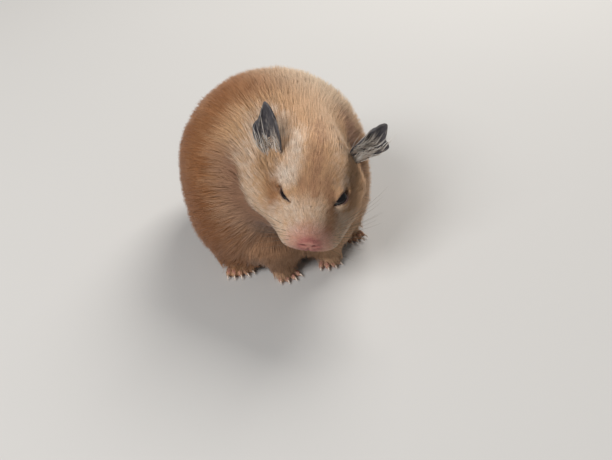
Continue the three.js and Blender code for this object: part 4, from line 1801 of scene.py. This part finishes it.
class Finishes:
    """All the model's materials."""

    def __init__(self) -> None:
        """Makes the group that the skin and the coat share."""
        self.markings = markings_group()

    def _marked(self, wiring: Wiring) -> bpy.types.NodeSocket:
        """The markings' colour in a material."""
        node = wiring.place("ShaderNodeGroup", node_tree=self.markings)
        for name in SOCKETS:
            node.inputs[name].default_value = getattr(COLOURS, name)
        return node.outputs["Color"]

    def coat(self) -> bpy.types.Material:
        """Hair: the markings with their painted light and shade, each hair a little different, darker at its
        root.
        """
        plain = {"Roughness": 0.62, "Specular IOR Level": 0.25, "Sheen Weight": 0.12, "Sheen Roughness": 0.5}
        made, wiring, shader = Finish("coat hair", plain).start()
        tone = wiring.math("MULTIPLY_ADD", wiring.mask("tone"), 0.13)
        tone.node.inputs[2].default_value = 1.0
        limits = {"From Min": 0.0, "From Max": 0.9, "To Min": 0.83, "To Max": 1.04}
        root = wiring.place("ShaderNodeMapRange", {"Value": wiring.mask("along"), **limits}).outputs[0]
        shade = wiring.math("MULTIPLY", tone, root)
        grey = wiring.place("ShaderNodeCombineColor", {0: shade, 1: shade, 2: shade}).outputs[0]
        base = wiring.blend(1.0, self._marked(wiring), grey, "MULTIPLY")
        wiring.tree.links.new(base, shader.inputs["Base Color"])
        return made

    def skin(self) -> bpy.types.Material:
        """Skin: the coat's markings, with their painted light and shade, under the hair, pink on the nose and
        feet, painted shade in the nostrils, slate on the ears.
        """
        plain = {"Roughness": 0.55, "Specular IOR Level": 0.35}
        made, wiring, shader = Finish("hamster skin", plain).start()
        under = wiring.blend(1.0, self._marked(wiring), (0.88, 0.83, 0.79, 1.0), "MULTIPLY")
        mottle = wiring.noise(900.0, 3.0)
        bare = wiring.blend(mottle, colour(168, 108, 98), colour(196, 140, 124))
        pleats = wiring.noise(420.0, 3.0)
        ear = wiring.blend(pleats, colour(42, 40, 46), colour(84, 80, 84))
        ear = wiring.blend(wiring.mask("ear_rim"), ear, colour(196, 184, 168))
        base = wiring.blend(wiring.mask("bare"), under, bare)
        # painted shade in the nostrils
        base = wiring.blend(wiring.mask("nostril"), base, colour(120, 62, 58))
        base = wiring.blend(wiring.mask("ear"), base, ear)
        wiring.tree.links.new(base, shader.inputs["Base Color"])
        fine = wiring.noise(5200.0, 3.0)
        bump = wiring.place("ShaderNodeBump", {"Height": fine, "Strength": 0.35, "Distance": 0.00012})
        wiring.tree.links.new(bump.outputs[0], shader.inputs["Normal"])
        return made

    def tufts(self) -> bpy.types.Material:
        """The long hairs of the ears: white, with some the colour of sand."""
        made, wiring, shader = Finish("ear tufts", {"Roughness": 0.5, "Specular IOR Level": 0.3}).start()
        base = wiring.blend(wiring.mask("tone"), colour(240, 234, 226), colour(172, 152, 134))
        wiring.tree.links.new(base, shader.inputs["Base Color"])
        return made

    def eye(self) -> bpy.types.Material:
        """Eyeball: wet and almost black, a little browner in places."""
        plain = {"Roughness": 0.06, "IOR": 1.38, "Specular IOR Level": 0.6,
                 "Coat Weight": 0.6, "Coat Roughness": 0.03}
        return Finish("eye", plain).mottled(420.0, colour(10, 10, 14), colour(28, 18, 16))

    def claw(self) -> bpy.types.Material:
        """Claw: pale horn, mottled a little pinker in places."""
        plain = {"Roughness": 0.35, "Specular IOR Level": 0.45}
        return Finish("claw horn", plain).mottled(1500.0, colour(222, 196, 176), colour(240, 226, 208))

    def whisker(self) -> bpy.types.Material:
        """Whisker: dark horn, with paler stretches."""
        plain = {"Roughness": 0.4, "Specular IOR Level": 0.4}
        return Finish("whisker", plain).mottled(300.0, colour(40, 34, 32), colour(150, 128, 106))

    def floor(self) -> bpy.types.Material:
        """Plain pale floor."""
        plain = {"Roughness": 0.9, "Specular IOR Level": 0.1}
        return Finish("floor", plain).mottled(3.0, colour(205, 202, 198), colour(210, 207, 203))


def dress(piece: bpy.types.Object, finish: bpy.types.Material) -> None:
    """Gives a piece its material."""
    piece.data.materials.clear()
    piece.data.materials.append(finish)


# ---------------------------------------------------------------- the studio
LAMPS_AIM = Vector((0.0, 0.0, 0.03))  # the middle of the animal's height, where the lamps face


@dataclass(frozen=True)
class Lamp:
    """A soft square lamp that faces the animal.

    Attributes:
        name: the lamp's name.
        place: where it hangs, in metres.
        size: its side, in metres.
        power: in watts.
        tint: its colour.
    """

    name: str
    place: tuple[float, float, float]
    size: float
    power: float
    tint: tuple[float, float, float]

    def build(self) -> None:
        """Hangs the lamp."""
        lamp = bpy.data.lights.new(self.name, "AREA")
        lamp.energy, lamp.size, lamp.color = self.power, self.size, self.tint
        made = bpy.data.objects.new(self.name, lamp)
        bpy.context.scene.collection.objects.link(made)
        made.location = self.place
        aim = LAMPS_AIM - Vector(self.place)
        made.rotation_euler = aim.to_track_quat("-Z", "Y").to_euler()


@dataclass(frozen=True)
class Studio:
    """The floor, the lamps, the soft surroundings and the camera.

    Attributes:
        camera_place: where the camera stands, in metres.
        camera_turn: how it is turned from looking straight down, in radians.
        lens: its focal length, in millimetres.
        sensor: the width of its sensor, in millimetres.
        nearest: how near to it things still show, in metres.
        floor_side: the floor's side, in metres.
        sky: the colour of the surroundings.
        glow: how strongly they shine.
        lamps: the lamps.
    """

    camera_place: tuple[float, float, float] = (-0.0712, -0.1766, 0.1475)
    camera_turn: tuple[float, float, float] = (math.radians(51.96), 0.0, math.radians(-25.17))
    lens: float = 36.906
    sensor: float = 36.0
    nearest: float = 0.005
    floor_side: float = 4.0
    sky: tuple[float, float, float, float] = (0.95, 0.97, 1.0, 1.0)
    glow: float = 0.15
    lamps: tuple[Lamp, ...] = (
        Lamp("skylight", (0.42, 0.36, 0.64), 0.45, 5.6, (1.0, 0.985, 0.96)),
        Lamp("window", (-0.62, -0.28, 0.58), 0.35, 5.4, (0.97, 0.985, 1.0)),
    )

    def build(self, floor_finish: bpy.types.Material) -> None:
        """Sets up everything that isn't the animal.

        Args:
            floor_finish: the floor's material.
        """
        slab = bmesh.new()
        bmesh.ops.create_grid(slab, x_segments=1, y_segments=1, size=self.floor_side / 2)
        mesh = bpy.data.meshes.new("floor")
        slab.to_mesh(mesh)
        slab.free()
        floor = mesh_object("floor", mesh)
        dress(floor, floor_finish)
        for lamp in self.lamps:
            lamp.build()
        world = bpy.data.worlds.new("surroundings")
        world.use_nodes = True
        background = world.node_tree.nodes["Background"]
        background.inputs["Color"].default_value = self.sky
        background.inputs["Strength"].default_value = self.glow
        bpy.context.scene.world = world
        bpy.context.scene.view_settings.view_transform = "Standard"
        camera = bpy.data.cameras.new("camera")
        camera.lens, camera.sensor_width, camera.clip_start = self.lens, self.sensor, self.nearest
        made = bpy.data.objects.new("camera", camera)
        bpy.context.scene.collection.objects.link(made)
        made.location, made.rotation_euler = self.camera_place, self.camera_turn
        bpy.context.scene.camera = made


# ---------------------------------------------------------------- the whole model
def corners(box: tuple) -> list[list[float]]:
    """A box's two corners as plain lists."""
    return [[float(value) for value in corner] for corner in box]


def bare_masks(skin: bpy.types.Mesh) -> None:
    """Stores where the skin has no hair of its own, the painted shade in the nostrils, and the pale rims of
    the ears.
    """
    points = positions(skin)
    on_head = HEAD.to_head(points)
    nose = ramp(from_nose_pad(on_head), 3.2, 1.8)
    store_attribute(skin, "bare", np.maximum(nose, read_attribute(skin, "foot")))
    # nostrils: painted shade in the nostrils and the slots beside them, darker where they are pressed in
    # deeper
    nostrils = np.clip(Muzzle().dent(on_head) / 0.5, 0.0, 1.0) * ramp(on_head[:, 2], -5.5, -4.6)
    store_attribute(skin, "nostril", nostrils)
    lobe = 0.65 * bell(from_point(on_head, EAR_LOBE), 1.7) * read_attribute(skin, "ear")
    store_attribute(skin, "ear_rim", np.maximum(read_attribute(skin, "ear_rim"), lobe))


def main() -> None:
    """Builds the model, its finishes and the studio in order."""
    logging.basicConfig(level=logging.INFO, format="%(relativeCreated)6.0f ms  %(message)s", force=True)
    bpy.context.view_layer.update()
    finishes = Finishes()
    skin = Skin()
    body = skin.build()
    bare_masks(body.data)
    dress(body, finishes.skin())
    log.info("skin built")
    for eye in EYES.values():
        dress(eye.ball(), finishes.eye())
    hair = finishes.coat()
    grown = SkinMap.of(skin.mesh)
    for piece in Coat(grown).build():
        dress(piece, hair)
    dress(EarTufts(grown).build(), finishes.tufts())
    log.info("coat grown")
    dress(Whiskers().build(), finishes.whisker())
    dress(Claws().build(), finishes.claw())
    log.info("whiskers and claws built")
    Studio().build(finishes.floor())


if __name__ == "__main__":
    main()
